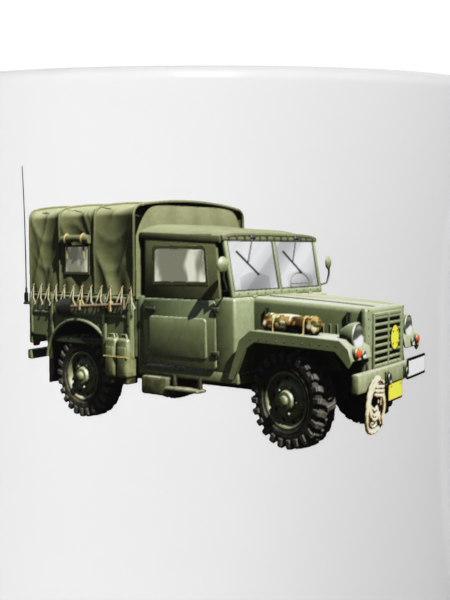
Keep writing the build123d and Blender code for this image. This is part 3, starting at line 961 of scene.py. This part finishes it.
# colour, gloss (0 to 1), how tight the highlight is
PAINTS = {
    "olive": (rgb(115, 123, 96), 0.36, 38),
    "olive_dark": (rgb(80, 86, 67), 0.20, 24),
    "can": (rgb(109, 116, 88), 0.30, 30),
    "rim": (rgb(107, 116, 93), 0.26, 26),
    "nut": (rgb(92, 96, 84), 0.5, 40),
    "hole": (rgb(22, 24, 22), 0.05, 10),
    "tyre": (rgb(58, 58, 58), 0.12, 12),
    "lug": (rgb(84, 84, 84), 0.14, 12),
    "rubber": (rgb(34, 34, 35), 0.2, 20),
    "under": (rgb(52, 54, 46), 0.10, 12),
    "dark": (rgb(20, 21, 19), 0.05, 10),
    "rust": (rgb(92, 70, 52), 0.05, 10),
    "iron": (rgb(70, 72, 66), 0.45, 40),
    "canvas": (rgb(112, 116, 90), 0.03, 6),
    "canvas_hem": (rgb(99, 102, 80), 0.03, 6),
    "strap": (rgb(150, 138, 100), 0.05, 8),
    "rope": (rgb(206, 190, 156), 0.04, 8),
    "wood": (rgb(128, 117, 101), 0.12, 14),
    "lace": (rgb(158, 150, 122), 0.04, 8),
    "brass": (rgb(120, 108, 70), 0.5, 40),
    "net": (rgb(140, 130, 96), 0.02, 6),
    "plate_white": (rgb(236, 238, 240), 0.2, 30),
    "plate_black": (rgb(18, 18, 18), 0.2, 30),
    "plate_yellow": (rgb(222, 194, 62), 0.2, 30),
    "disc_yellow": (rgb(234, 200, 46), 0.25, 30),
    "amber": (rgb(214, 84, 40), 0.7, 60),
    "red": (rgb(196, 52, 36), 0.6, 50),
    "lens": (rgb(190, 196, 196), 0.9, 80),
    "glass": (rgb(196, 200, 200), 0.8, 90),
    "pane": (rgb(166, 168, 150), 0.6, 30),
    "seen_rim": (rgb(120, 116, 104), 0.1, 10),
}


class View:
    """A camera looking at the motif."""

    def __init__(self, azimuth, height, distance, aim):
        a = math.radians(azimuth)
        self.eye = np.array([aim[0] + distance * math.sin(a), aim[1] - distance * math.cos(a), height])
        f = np.array(aim) - self.eye
        f /= np.linalg.norm(f)
        self.f = f
        self.r = np.cross(f, (0, 0, 1.0))
        self.r /= np.linalg.norm(self.r)
        self.u = np.cross(self.r, f)

    def flat(self, p):
        d = p - self.eye
        depth = d @ self.f
        return np.stack([d @ self.r / depth, d @ self.u / depth], -1)

    def rays(self, q):
        d = self.f + q[:, :1] * self.r + q[:, 1:2] * self.u
        return d / np.linalg.norm(d, axis=1, keepdims=True)


def look(model, view, q, ao_rays=14, seed=5):
    """Colour (linear, n by 3) and a hit flag for each image point q."""
    co, tri, corner, paint, names = model["co"], model["tri"], model["corner"], model["paint"], model["names"]
    if "tree" not in model:
        model["tree"] = BVHTree.FromPolygons([tuple(v) for v in co.tolist()], [tuple(t) for t in tri.tolist()], all_triangles=True)
    tree = model["tree"]
    eye = Vector(view.eye)
    dirs = view.rays(q)
    n = len(q)
    hit = np.full(n, -1, np.int64)
    place = np.zeros((n, 3))
    cast = tree.ray_cast
    for i, d in enumerate(dirs.tolist()):
        loc, _, idx, _ = cast(eye, d)
        if idx is not None:
            hit[i] = idx
            place[i] = loc
    on = np.nonzero(hit >= 0)[0]
    idx, p, d = hit[on], place[on], dirs[on]
    t = tri[idx]
    a, b, c = co[t[:, 0]], co[t[:, 1]], co[t[:, 2]]
    v0, v1, v2 = b - a, c - a, p - a
    d00, d01, d11 = (v0 * v0).sum(1), (v0 * v1).sum(1), (v1 * v1).sum(1)
    d20, d21 = (v2 * v0).sum(1), (v2 * v1).sum(1)
    den = d00 * d11 - d01 * d01
    den[np.abs(den) < 1e-20] = 1e-20
    w1 = np.clip((d11 * d20 - d01 * d21) / den, 0, 1)
    w2 = np.clip((d00 * d21 - d01 * d20) / den, 0, 1)
    w0 = np.clip(1 - w1 - w2, 0, 1)
    flatn = np.cross(v0, v1)
    flatn /= np.maximum(np.linalg.norm(flatn, axis=1, keepdims=True), 1e-12)
    nrm = corner[idx, 0] * w0[:, None] + corner[idx, 1] * w1[:, None] + corner[idx, 2] * w2[:, None]
    nrm /= np.maximum(np.linalg.norm(nrm, axis=1, keepdims=True), 1e-9)
    away = (flatn * d).sum(1) > 0
    flatn[away] *= -1
    turn = (nrm * flatn).sum(1) < 0
    nrm[turn] *= -1
    # light
    sun = np.array([0.64, -0.19, 0.74])
    sun /= np.linalg.norm(sun)
    start = p + flatn * 0.004
    rng = np.random.default_rng(seed)
    lit = np.zeros(len(p))
    sv = tuple(sun)
    facing = (flatn @ sun) > 0
    starts = start.tolist()
    for i in np.nonzero(facing)[0]:
        lit[i] = 0.0 if cast(starts[i], sv, 8.0)[2] is not None else 1.0
    # how open each point is to the sky and to the ground, from scattered rays
    m = len(p)
    open_sky, open_low = np.zeros(m), np.zeros(m)
    tx = np.cross(nrm, np.where(np.abs(nrm[:, 2:3]) < 0.9, [[0, 0, 1.0]], [[1.0, 0, 0]]))
    tx /= np.linalg.norm(tx, axis=1, keepdims=True)
    ty = np.cross(nrm, tx)
    total_sky, total_low = np.zeros(m), np.zeros(m)
    for k in range(ao_rays):
        u1 = (k + rng.random(m)) / ao_rays
        u2 = rng.random(m)
        r, ph = np.sqrt(u1), 2 * np.pi * u2
        w = tx * (r * np.cos(ph))[:, None] + ty * (r * np.sin(ph))[:, None] + nrm * np.sqrt(1 - u1)[:, None]
        free = np.zeros(m)
        wl = w.tolist()
        for i in range(m):
            if cast(starts[i], wl[i], 1.6)[2] is None:
                free[i] = 1.0
        # rays that go down end on the ground, darker under the lorry
        down = w[:, 2] < -0.02
        sky_like = np.where(down, 0.0, 0.55 + 0.45 * np.clip(w[:, 2], 0, 1))
        reach = start[:, 2] / np.maximum(-w[:, 2], 0.02)
        gx, gy = start[:, 0] + w[:, 0] * reach, start[:, 1] + w[:, 1] * reach
        under = (np.abs(gx) < 2.0) & (np.abs(gy) < 0.8)
        low_like = np.where(down, np.where(under, 0.12, 1.0), 0.0)
        total_sky += free * sky_like
        total_low += free * low_like
    open_sky, open_low = total_sky / ao_rays, total_low / ao_rays
    # smoother between neighbours is left to the averaging over each print dot
    base = np.zeros((m, 3))
    gloss, tight = np.zeros(m), np.ones(m)
    kinds = paint[idx]
    for k, name in enumerate(names):
        sel = kinds == k
        if sel.any():
            col, g, s = PAINTS[name]
            base[sel] = col
            gloss[sel] = g
            tight[sel] = s
    is_ = lambda *ns: np.isin(kinds, [names.index(x) for x in ns if x in names])
    big = vnoise(p, 2.2, 3)
    fine = vnoise(p, 26.0, 7, 3)
    grit = vnoise(p, 90.0, 11, 2)
    # paint: clouding, dust that settles low and on level faces, scuffs
    painted = is_("olive", "olive_dark", "can", "rim")
    base *= np.where(painted, 0.88 + 0.24 * big, 1.0)[:, None]
    base *= np.where(painted, 0.94 + 0.12 * fine, 1.0)[:, None]
    dust = np.clip((0.95 - p[:, 2]) / 0.7, 0, 1) * np.clip(fine * 1.6 - 0.35, 0, 1) * 0.55
    dust = np.where(painted | is_("under"), dust * 0.8, np.where(is_("tyre", "lug"), dust * 0.35, 0.0))
    dust += np.where(painted & (nrm[:, 2] > 0.8), 0.10 + 0.10 * big, 0.0)
    base = base * (1 - dust[:, None]) + rgb(168, 160, 126) * dust[:, None]
    scuff = painted & (grit > 0.80) & (fine > 0.55)
    base[scuff] = base[scuff] * 0.75 + rgb(70, 66, 52) * 0.25
    # canvas: weave streaks, fading on top, damp stains
    cloth = is_("canvas", "canvas_hem")
    weave = vnoise(p * [1.0, 1.0, 2.2], 17.0, 13, 2)
    stain = vnoise(p, 3.3, 17, 4)
    base *= np.where(cloth, (0.84 + 0.20 * weave) * (0.86 + 0.28 * stain), 1.0)[:, None]
    fade = np.where(cloth, np.clip((p[:, 2] - 1.75) / 0.4, 0, 1) * 0.20, 0.0)
    base = base * (1 - fade[:, None]) + rgb(168, 168, 132) * fade[:, None]
    # tyres
    base *= np.where(is_("tyre", "lug"), 0.85 + 0.3 * fine, 1.0)[:, None]
    # rope: yellowed in places
    age = vnoise(p, 14.0, 29, 3)
    base = np.where(is_("rope")[:, None], base * (0.80 + 0.25 * fine[:, None]) * (1 - np.array([0.0, 0.10, 0.26]) * age[:, None]), base)
    # net: blotches of cream, brown and green
    blot = vnoise(p, 19.0, 31, 2)
    mesh = 0.80 + 0.20 * np.sin(p[:, 0] * 210) * np.sin(p[:, 2] * 230 + p[:, 1] * 190)
    dyed = np.where((blot > 0.60)[:, None], rgb(206, 196, 160), np.where((blot < 0.40)[:, None], rgb(92, 70, 48), np.where((fine > 0.52)[:, None], rgb(96, 104, 70), rgb(146, 128, 88))))
    base = np.where(is_("net")[:, None], dyed * mesh[:, None], base)
    # light that reaches the eye
    sun_l = np.array([3.70, 3.56, 3.32])
    sky_l = np.array([0.46, 0.52, 0.60])
    low_l = np.array([0.30, 0.28, 0.22])
    ndl = np.clip(nrm @ sun, 0, 1) * lit
    out = base * (ndl[:, None] * sun_l + open_sky[:, None] * sky_l + open_low[:, None] * low_l)
    # gloss: the sun's highlight, and sky, far trees and ground seen blurred in the paint
    half = sun - d
    half /= np.linalg.norm(half, axis=1, keepdims=True)
    spec = np.clip((nrm * half).sum(1), 0, 1) ** tight * (tight + 8) / 25.0 * lit
    fres = 0.05 + 0.95 * (1 - np.clip(-(nrm * d).sum(1), 0, 1)) ** 5
    refl = d - 2 * (d * nrm).sum(1)[:, None] * nrm
    rz = refl[:, 2:3] + 0.03 * (big[:, None] - 0.5)

    def step(v, lo, hi):
        k = np.clip((v - lo) / (hi - lo), 0, 1)
        return k * k * (3 - 2 * k)

    sky_seen = sky_l * (1.9 - 0.7 * np.clip(rz, 0, 1))
    trees = np.array([0.060, 0.075, 0.045])
    seen = low_l * 1.1 + (trees - low_l * 1.1) * step(rz, -0.10, -0.01)
    seen = seen + (sky_seen - seen) * step(rz, 0.06, 0.22)
    near = 0.25 + 0.75 * np.clip(open_sky * 1.8, 0, 1)
    out += (gloss * spec * 0.62)[:, None] * sun_l
    out += (np.clip(gloss * 2.6, 0, 1) * fres * near)[:, None] * seen
    # edges where the paint is thin and catches the light
    bend = np.clip((1 - np.abs((nrm * flatn).sum(1))) * 26, 0, 1)
    out *= np.where(painted, 1 + 0.22 * bend * np.clip(fine * 2 - 0.6, 0, 1), 1.0)[:, None]
    # glass: pale, with a soft slanting sheen and the dim cab behind it
    gl = is_("glass")
    across = p[:, 1] * 0.80 - p[:, 2] * 1.25
    sheen = 0.80 + 0.16 * np.sin(across * 7.0) + 0.10 * step(np.sin(across * 11.0 + 0.8), 0.2, 0.5)
    dim = np.clip((1.50 - p[:, 2]) / 0.30, 0, 1) ** 1.5 * 0.34
    seats = ((np.abs(np.abs(p[:, 1]) - 0.40) < 0.24) & (p[:, 2] < 1.455 + 0.03 * np.cos((np.abs(p[:, 1]) - 0.40) * 9))) * 0.16
    out = np.where(gl[:, None], np.array([0.94, 0.96, 0.98]) * (sheen * (1 - dim) * (1 - seats))[:, None], out)
    # door panes: the lit colour is dimmed, then a painted reflection of pale sky is added in patches where the plastic
    # is crinkled
    pn = is_("pane")
    crinkle_sheen = vnoise(p * [1.0, 1.0, 0.45], 7.0, 23, 3)
    out = np.where(pn[:, None], out * 0.45 + rgb(196, 196, 182) * (0.30 + 0.75 * step(crinkle_sheen, 0.42, 0.70))[:, None], out)
    # lamp glasses: bright below, the dark ground's reflection above, and fine flutes
    ln = is_("lens")
    big_lamp = p[:, 2] > 0.88
    h = np.where(big_lamp, (p[:, 2] - 0.985) / 0.104, (p[:, 2] - 0.845) / 0.034)
    side = np.abs(p[:, 1])
    g = np.where(big_lamp, (side - 0.655) / 0.104, (side - 0.66) / 0.034)
    flute = 0.92 + 0.08 * np.sin(p[:, 1] * 520)
    bowl = 0.30 + 1.15 * step(-h + 0.18 * np.cos(g * 3.0), -0.10, 0.16) + 0.35 * step(h, 0.45, 0.80)
    bowl *= 1 - 0.45 * step(np.sqrt(h**2 + g**2), 0.80, 1.0)
    bowl += 1.2 * np.exp(-(((h + 0.35) / 0.16) ** 2 + ((g - 0.15) / 0.22) ** 2))
    tintl = np.where((h > 0.05)[:, None], np.array([0.86, 0.92, 0.78]), np.array([0.97, 0.98, 1.0]))
    out = np.where(ln[:, None], tintl * (bowl * flute)[:, None] * 0.95, out)
    colour = np.zeros((n, 3))
    colour[on] = out
    return colour, hit >= 0


def developed(light):
    """The print's tone curve: linear light to the ink's linear colour."""
    y = (np.maximum(light, 0.0) * 1.05) ** 1.65
    over = np.maximum(y - 0.55, 0.0)
    y = np.where(y > 0.55, 0.55 + over / (1 + over / 0.60), y)
    # a little paler all over, the light tones more so, but not the bright signal colours
    grey = (y @ np.array([0.2126, 0.7152, 0.0722]))[..., None]
    pale = np.clip((grey - 0.10) / 0.35, 0.0, 1.0)
    vivid = 1 - y.min(-1, keepdims=True) / np.maximum(y.max(-1, keepdims=True), 1e-6)
    vivid = np.clip((vivid - 0.62) / 0.20, 0.0, 1.0)
    y = y + (grey - y) * (0.04 + 0.25 * pale * pale * (3 - 2 * pale)) * (1 - 0.75 * vivid)
    return np.clip(y, 0.0, 0.96)


# ---- the printed picture -------------------------------------------------------------------------
# The motif is looked at once, dot by dot, and each dot is a point of a thin film that lies on the wall.
PRINT_U, PRINT_Z, PRINT_WIDE = 3.7, 40.0, 65.0  # middle round the wall, ground line, width
FILM = 0.05  # how far the film stands off the wall
DOT = 0.125


def on_wall(u, z, off):
    """A point u round the wall from -Y towards +X, at height z, off millimetres proud of the wall."""
    th = np.asarray(u, float) / R_OUT
    r = wall_out(th - np.pi / 2, z) + off
    return np.stack([r * np.sin(th), -r * np.cos(th), np.broadcast_to(z, r.shape)], -1) * MM


def picture():
    """Ink colour and cover at each node of a grid over the picture's box: (colour, cover, u of columns, z of rows, to_print)."""
    motif = lorry()
    model = motif.built()
    model["names"] = motif.names
    view = View(37.0, 1.72, 9.2, (0.0, 0.0, 1.02))
    flat = view.flat(model["co"])
    lo, hi = flat.min(0), flat.max(0)
    scale = PRINT_WIDE / (hi - lo)[0]
    mid = (lo[0] + hi[0]) / 2

    def to_print(q):
        q = np.atleast_2d(q)
        return PRINT_U + (q[:, 0] - mid) * scale, PRINT_Z + (q[:, 1] - lo[1]) * scale

    nx = int(math.ceil(PRINT_WIDE / DOT)) + 5
    nz = int(math.ceil((hi - lo)[1] * scale / DOT)) + 5
    us = PRINT_U - PRINT_WIDE / 2 + (np.arange(nx) - 2) * DOT
    zs = PRINT_Z + (np.arange(nz) - 2) * DOT
    uu, zz = np.meshgrid(us, zs)
    q = np.stack([(uu.ravel() - PRINT_U) / scale + mid, (zz.ravel() - PRINT_Z) / scale + lo[1]], -1)
    cuts, sky = ((3, 2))
    colour, cover = np.zeros((len(q), 3)), np.zeros(len(q))
    for i in range(cuts):
        for j in range(cuts):
            shift = (np.array([i + 0.5, j + 0.5]) / cuts - 0.5) * DOT / scale
            c, seen = look(model, view, q + shift, sky, 5 + i * cuts + j)
            colour += np.minimum(c, 3.0) * seen[:, None]
            cover += seen
    colour = developed(colour / np.maximum(cover, 1)[:, None]).reshape(nz, nx, 3)
    cover = (cover / cuts**2).reshape(nz, nx)
    # dots just outside the picture take the ink of their neighbours, so that its edge has no halo
    known = cover > 0
    for _ in range(3):
        total, count = np.zeros_like(colour), np.zeros(cover.shape)
        for dz in (-1, 0, 1):
            for dx in (-1, 0, 1):
                k = np.roll(np.roll(known, dz, 0), dx, 1)
                total += np.roll(np.roll(colour, dz, 0), dx, 1) * k[:, :, None]
                count += k
        grow = ~known & (count > 0)
        colour[grow] = total[grow] / count[grow][:, None]
        known = known | grow
    return colour, cover, us, zs, to_print, view


def film_pieces(colour, cover, us, zs, borders):
    """The film as meshes between the given borders (u), cut along the picture's own outline."""
    nz, nx = cover.shape
    # a light smoothing of the cover keeps the outline from showing its dots
    soft = cover.copy()
    soft[1:-1, 1:-1] = (
        cover[1:-1, 1:-1] * 4
        + cover[:-2, 1:-1] + cover[2:, 1:-1] + cover[1:-1, :-2] + cover[1:-1, 2:]
    ) / 8
    inside = soft > 0.5
    made = []
    for piece, (c0, c1) in enumerate(borders):
        spots, inks, faces, rims = [], [], [], []
        node, cut = {}, {}

        def node_at(j, i):
            k = (j, i)
            if k not in node:
                node[k] = len(spots)
                spots.append((us[i], zs[j]))
                inks.append(colour[j, i])
            return node[k]

        def cut_at(j0, i0, j1, i1):
            k = (j0, i0, j1, i1)
            if k not in cut:
                a, b = soft[j0, i0], soft[j1, i1]
                t = min(0.96, max(0.04, (0.5 - a) / (b - a)))
                cut[k] = len(spots)
                spots.append((us[i0] + (us[i1] - us[i0]) * t, zs[j0] + (zs[j1] - zs[j0]) * t))
                inks.append(colour[j0, i0] * (1 - t) + colour[j1, i1] * t)
            return cut[k]

        for j in range(nz - 1):
            row = inside[j, c0 : c1 + 1].astype(int) + inside[j + 1, c0 : c1 + 1]
            for i in range(c0, c1):
                if row[i - c0] + row[i - c0 + 1] == 0:
                    continue
                ring = [(j, i), (j, i + 1), (j + 1, i + 1), (j + 1, i)]
                ins = [inside[k] for k in ring]
                if all(ins):
                    faces.append([node_at(*k) for k in ring])
                    continue
                if ins in ([True, False, True, False], [False, True, False, True]):
                    # two opposite corners: each keeps its own small triangle
                    for n, k in enumerate(ring):
                        if ins[n]:
                            before, after = ring[n - 1], ring[(n + 1) % 4]
                            a = cut_at(*min(before, k), *max(before, k))
                            b = cut_at(*min(after, k), *max(after, k))
                            faces.append([a, node_at(*k), b])
                            rims.append((b, a))
                    continue
                poly, ends = [], []
                for n, k in enumerate(ring):
                    nxt = ring[(n + 1) % 4]
                    if ins[n]:
                        poly.append(node_at(*k))
                    if ins[n] != inside[nxt]:
                        c = cut_at(*min(k, nxt), *max(k, nxt))
                        poly.append(c)
                        ends.append((c, ins[n]))
                faces.append(poly)
                leave = next(c for c, was in ends if was)
                back = next(c for c, was in ends if not was)
                rims.append((leave, back))
        spots = np.array(spots)
        inks = np.array(inks)
        top = on_wall(spots[:, 0], spots[:, 1], FILM)
        # the film's edge goes down into the wall, on points of its own so that it stays crisp
        low, verts, cols = {}, [tuple(v) for v in top], [tuple(c) for c in inks]
        used = sorted({c for pair in rims for c in pair})
        rim_top, rim_low = {}, {}
        foot = on_wall(spots[used, 0], spots[used, 1], -0.03)
        for c, f in zip(used, foot):
            rim_top[c] = len(verts)
            verts.append(verts[c])
            cols.append(cols[c])
            rim_low[c] = len(verts)
            verts.append(tuple(f))
            cols.append(cols[c])
        n_top = len(faces)
        for a, b in rims:
            faces.append([rim_top[b], rim_top[a], rim_low[a], rim_low[b]])
        me = bpy.data.meshes.new("picture")
        me.from_pydata(verts, [], faces)
        me.update()
        me.polygons.foreach_set("use_smooth", [True] * len(me.polygons))
        ink = me.color_attributes.new("ink", "FLOAT_COLOR", "POINT")
        ink.data.foreach_set("color", np.c_[np.array(cols), np.ones(len(cols))].astype(np.float32).ravel())
        # unrolled map of the film for its ink
        uv = me.uv_layers.new(name="OFBake")
        flat_uz = np.array([*map(tuple, spots)] + [tuple(spots[c]) for c in used for _ in (0, 1)])
        lo, hi = flat_uz.min(0), flat_uz.max(0)
        st = 0.01 + 0.98 * (flat_uz - lo) / (hi - lo).max()
        corner = np.zeros(len(me.loops), np.int32)
        me.loops.foreach_get("vertex_index", corner)
        uv.data.foreach_set("uv", st[corner].astype(np.float32).ravel())
        ob = bpy.data.objects.new(f"picture_{'left' if piece == 0 else 'right'}", me)
        bpy.context.scene.collection.objects.link(ob)
        made.append(ob)
    return made


def ink_material():
    """Fired ink: the film's own colours with a fine grain and a faint gloss, so that its blacks stay deep."""
    mat, nt, bsdf = new_material("fired_ink")
    co = object_coords(nt)
    ink = add(nt, "ShaderNodeVertexColor")
    ink.layer_name = "ink"
    grain = noise(nt, co, 5200.0, 2.0, 0.6)
    tone = ramp(nt, grain.outputs["Fac"], [(0.3, (0.955, 0.955, 0.955)), (0.7, (1.0, 1.0, 1.0))])
    mix = add(nt, "ShaderNodeMix", data_type="RGBA", blend_type="MULTIPLY")
    mix.inputs[0].default_value = 1.0
    nt.links.new(ink.outputs["Color"], mix.inputs[6])
    nt.links.new(tone.outputs["Color"], mix.inputs[7])
    nt.links.new(mix.outputs[2], bsdf.inputs["Base Color"])
    gloss = noise(nt, co, 90.0, 2.0)
    nt.links.new(map_range(nt, gloss.outputs["Fac"], 0.3, 0.7, 0.12, 0.18), bsdf.inputs["Roughness"])
    bsdf.inputs["IOR"].default_value = 1.45
    bsdf.inputs["Specular IOR Level"].default_value = 0.16
    return mat


INK = ink_material()
colour, cover, us, zs, to_print, picture_view = picture()
half = len(us) // 2
films = film_pieces(colour, cover, us, zs, [(0, half), (half, len(us) - 1)])


def aerial_strip():
    """The thin whip at the lorry's near rear corner, drawn as one narrow tapering strip of ink."""
    line = []
    for k in range(49):
        t = k / 48
        p = np.array([-2.155 - 0.10 * t**2, -0.912, 1.27 + 1.78 * t])
        u, z = to_print(picture_view.flat(p[None, :]))
        line.append((u[0], z[0], 0.19 - 0.10 * t))
    u = np.array([p[0] for p in line])
    z = np.minimum(np.array([p[1] for p in line]), PRINT_Z + 40.9)
    w = np.array([p[2] for p in line])
    verts = []
    for du, off in ((-1, -0.03), (-1, FILM), (0, FILM + 0.01), (1, FILM), (1, -0.03)):
        verts.append(on_wall(u + du * w / 2, z, off))
    verts = np.concatenate(verts)
    n = len(line)
    faces = [[r * n + k, (r + 1) * n + k, (r + 1) * n + k + 1, r * n + k + 1] for r in range(4) for k in range(n - 1)]
    ob = mesh_object("picture_aerial", verts, faces)
    ink = ob.data.color_attributes.new("ink", "FLOAT_COLOR", "POINT")
    shade = np.tile([0.030, 0.036, 0.024, 1.0], (len(verts), 1)).astype(np.float32)
    ink.data.foreach_set("color", shade.ravel())
    return ob


films.append(aerial_strip())
for ob in films:
    ob.data.materials.append(INK)
    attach(ob, "root")
for ob in films:
    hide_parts("printed_picture")


# ---- floor, light and camera -----------------------------------------------------------------------
def paper(seen):
    """The studio's pale paper. What the camera sees is lifted a little and turns to plain white towards the far wall."""
    mat, nt, bsdf = new_material("paper_seen" if seen else "paper_under")
    speck = noise(nt, object_coords(nt), 900.0, 2.0)
    tone = 0.72 if seen else 0.58
    col = ramp(nt, speck.outputs["Fac"], [(0.3, (tone - 0.02,) * 3), (0.7, (tone + 0.02,) * 3)])
    nt.links.new(col.outputs["Color"], bsdf.inputs["Base Color"])
    bsdf.inputs["Roughness"].default_value = 0.85
    if not seen:
        return mat
    bsdf.inputs["Emission Color"].default_value = (1.0, 1.0, 1.0, 1.0)
    bsdf.inputs["Emission Strength"].default_value = 0.36
    glow = add(nt, "ShaderNodeEmission")
    glow.inputs["Color"].default_value = (1.0, 1.0, 1.0, 1.0)
    glow.inputs["Strength"].default_value = 1.04
    height = add(nt, "ShaderNodeSeparateXYZ")
    nt.links.new(object_coords(nt), height.inputs[0])
    rise = add(nt, "ShaderNodeMapRange", interpolation_type="SMOOTHSTEP")
    rise.inputs["From Min"].default_value = -0.02
    rise.inputs["From Max"].default_value = 0.37
    nt.links.new(height.outputs["Z"], rise.inputs["Value"])
    mix = add(nt, "ShaderNodeMixShader")
    nt.links.new(rise.outputs["Result"], mix.inputs[0])
    nt.links.new(bsdf.outputs[0], mix.inputs[1])
    nt.links.new(glow.outputs[0], mix.inputs[2])
    out = next(n for n in nt.nodes if n.type == "OUTPUT_MATERIAL")
    nt.links.new(mix.outputs[0], out.inputs["Surface"])
    return mat


def sweep(name, profile, mat):
    """A sheet of paper round the cup: its profile (radius, height) turned about the axis."""
    n = 96
    verts = [(r * math.cos(2 * math.pi * k / n), r * math.sin(2 * math.pi * k / n), z) for r, z in profile for k in range(n)]
    faces = [(i * n + k, i * n + (k + 1) % n, (i + 1) * n + (k + 1) % n, (i + 1) * n + k) for i in range(len(profile) - 1) for k in range(n)]
    faces.append(tuple(range(n - 1, -1, -1)))
    ob = mesh_object(name, verts, faces)
    ob.data.materials.append(mat)
    return ob


# the paper the camera sees: flat under the cup, curving up into the far wall
bend = [(4.2 + 1.5 * math.sin(a), 1.5 - 1.5 * math.cos(a)) for a in np.linspace(0, math.pi / 2, 25)]
seen = sweep("paper_seen", [(0.5, 0.0), (1.5, 0.0), (3.0, 0.0), *bend, (5.7, 3.0), (5.7, 4.5)], paper(True))
seen.visible_diffuse = False
seen.visible_glossy = False
seen.visible_transmission = False
seen.visible_shadow = False
# the paper that throws light back on the cup: a flat sheet just under it
under = sweep("paper_under", [(0.5, -0.0002), (3.0, -0.0002), (6.0, -0.0002)], paper(False))
under.visible_camera = False


def around(turn, rise, reach, z):
    """A place at the given turn from the camera's side (to the right), rise and distance from the cup."""
    a, e = math.radians(turn), math.radians(rise)
    return (reach * math.cos(e) * math.sin(a), -reach * math.cos(e) * math.cos(a), z + reach * math.sin(e))


def area_light(name, at, to, size, size_y, power, mirrored=False):
    data = bpy.data.lights.new(name, "AREA")
    data.shape = "RECTANGLE"
    data.size, data.size_y = size, size_y
    data.energy = power
    ob = bpy.data.objects.new(name, data)
    bpy.context.scene.collection.objects.link(ob)
    ob.location = at
    ob.rotation_euler = (Vector(to) - Vector(at)).to_track_quat("-Z", "Y").to_euler()
    ob.visible_camera = False
    ob.visible_glossy = mirrored
    return ob


def group(name, state, *objs):
    """A collection for light linking: its objects are lit (INCLUDE) or spared (EXCLUDE)."""
    col = bpy.data.collections.new(name)
    for obj in objs:
        col.objects.link(obj)
    for entry in col.collection_objects:
        entry.light_linking.link_state = state
    return col


# softbox in front and above: its reflection is the bright patch on the lip. Its light falls in full on the paper and
# only faintly on the cup, which stands in low light from all round, so that its lip is no brighter than its wall.
# Its three parts stand one behind the other, because lights in one plane hide each other
def softbox(name, reach, power, mirrored=False):
    return area_light(name, around(0.0, 47.0, reach, 0.05), (0.0, 0.0, 0.09), 0.545, 1.19, power, mirrored)


softbox("softbox", 1.40, 5.4, True).visible_diffuse = False
softbox("softbox_on_paper", 1.42, 5.5).light_linking.receiver_collection = group("paper_lit", "INCLUDE", seen)
spared = group("paper_spared", "EXCLUDE", seen)
softbox("softbox_on_cup", 1.44, 1.5).light_linking.receiver_collection = spared
# the far low lights spare the hidden paper too, or the patches under them would glare in the glaze at the wall's edges
spared_both = group("papers_spared", "EXCLUDE", seen, under)
for name, at, to, size, size_y, power, lit in (
    ("front_bank", around(0.0, 4.0, 1.6, 0.05), (0.0, 0.0, 0.06), 1.0, 0.20, 4.05, spared_both),
    ("left_bank", (-1.6, -1.0, 0.35), (0.0, 0.0, 0.06), 1.0, 0.7, 14.4, spared_both),
    ("back_bank", (0.0, 1.9, 0.2), (0.0, 0.0, 0.06), 1.6, 0.36, 12.0, spared_both),
    ("close_left", around(-25.0, 20.0, 0.6, 0.05), (0.0, 0.0, 0.075), 0.30, 0.30, 0.915, spared),
    ("close_right", around(60.0, 40.0, 0.25, 0.05), (0.0, 0.0, 0.075), 0.20, 0.20, 0.274, spared),
):
    area_light(name, at, to, size, size_y, power).light_linking.receiver_collection = lit


def studio_world():
    """Even soft light all round, more of it from behind."""
    world = bpy.data.worlds.new("studio")
    world.use_nodes = True
    nt = world.node_tree
    bg = next(n for n in nt.nodes if n.type == "BACKGROUND")
    bg.inputs["Color"].default_value = (1.0, 1.0, 1.0, 1.0)
    way = add(nt, "ShaderNodeTexCoord").outputs["Generated"]
    total = None
    for normal, power, strength in (((0.0, 1.0, 0.0), 2.0, 0.78), ((-1.0, 0.0, 0.0), 2.0, 0.10)):
        dot = add(nt, "ShaderNodeVectorMath", operation="DOT_PRODUCT")
        nt.links.new(way, dot.inputs[0])
        dot.inputs[1].default_value = normal
        top = add(nt, "ShaderNodeMath", operation="MAXIMUM")
        nt.links.new(dot.outputs["Value"], top.inputs[0])
        top.inputs[1].default_value = 0.0
        fall = add(nt, "ShaderNodeMath", operation="POWER")
        nt.links.new(top.outputs[0], fall.inputs[0])
        fall.inputs[1].default_value = power
        part = add(nt, "ShaderNodeMath", operation="MULTIPLY_ADD")
        nt.links.new(fall.outputs[0], part.inputs[0])
        part.inputs[1].default_value = strength
        if total is None:
            part.inputs[2].default_value = 0.20
        else:
            nt.links.new(total, part.inputs[2])
        total = part.outputs[0]
    nt.links.new(total, bg.inputs["Strength"])
    bpy.context.scene.world = world


studio_world()

scene = bpy.context.scene
scene.view_settings.view_transform = "Standard"
scene.view_settings.look = "None"
scene.view_settings.exposure = 0.0
scene.view_settings.gamma = 1.0

cam_data = bpy.data.cameras.new("camera")
cam_data.sensor_fit = "AUTO"
cam_data.sensor_width = 36.0
cam_data.lens = 317.7
cam_data.clip_start = 0.05
cam_data.clip_end = 60.0
camera = bpy.data.objects.new("camera", cam_data)
scene.collection.objects.link(camera)
camera.location = (0.0, -0.795, 0.0475)
pan, up = math.radians(0.195), math.radians(1.054)
look = Vector((math.sin(pan) * math.cos(up), math.cos(pan) * math.cos(up), math.sin(up)))
camera.rotation_euler = look.to_track_quat("-Z", "Y").to_euler()
scene.camera = camera
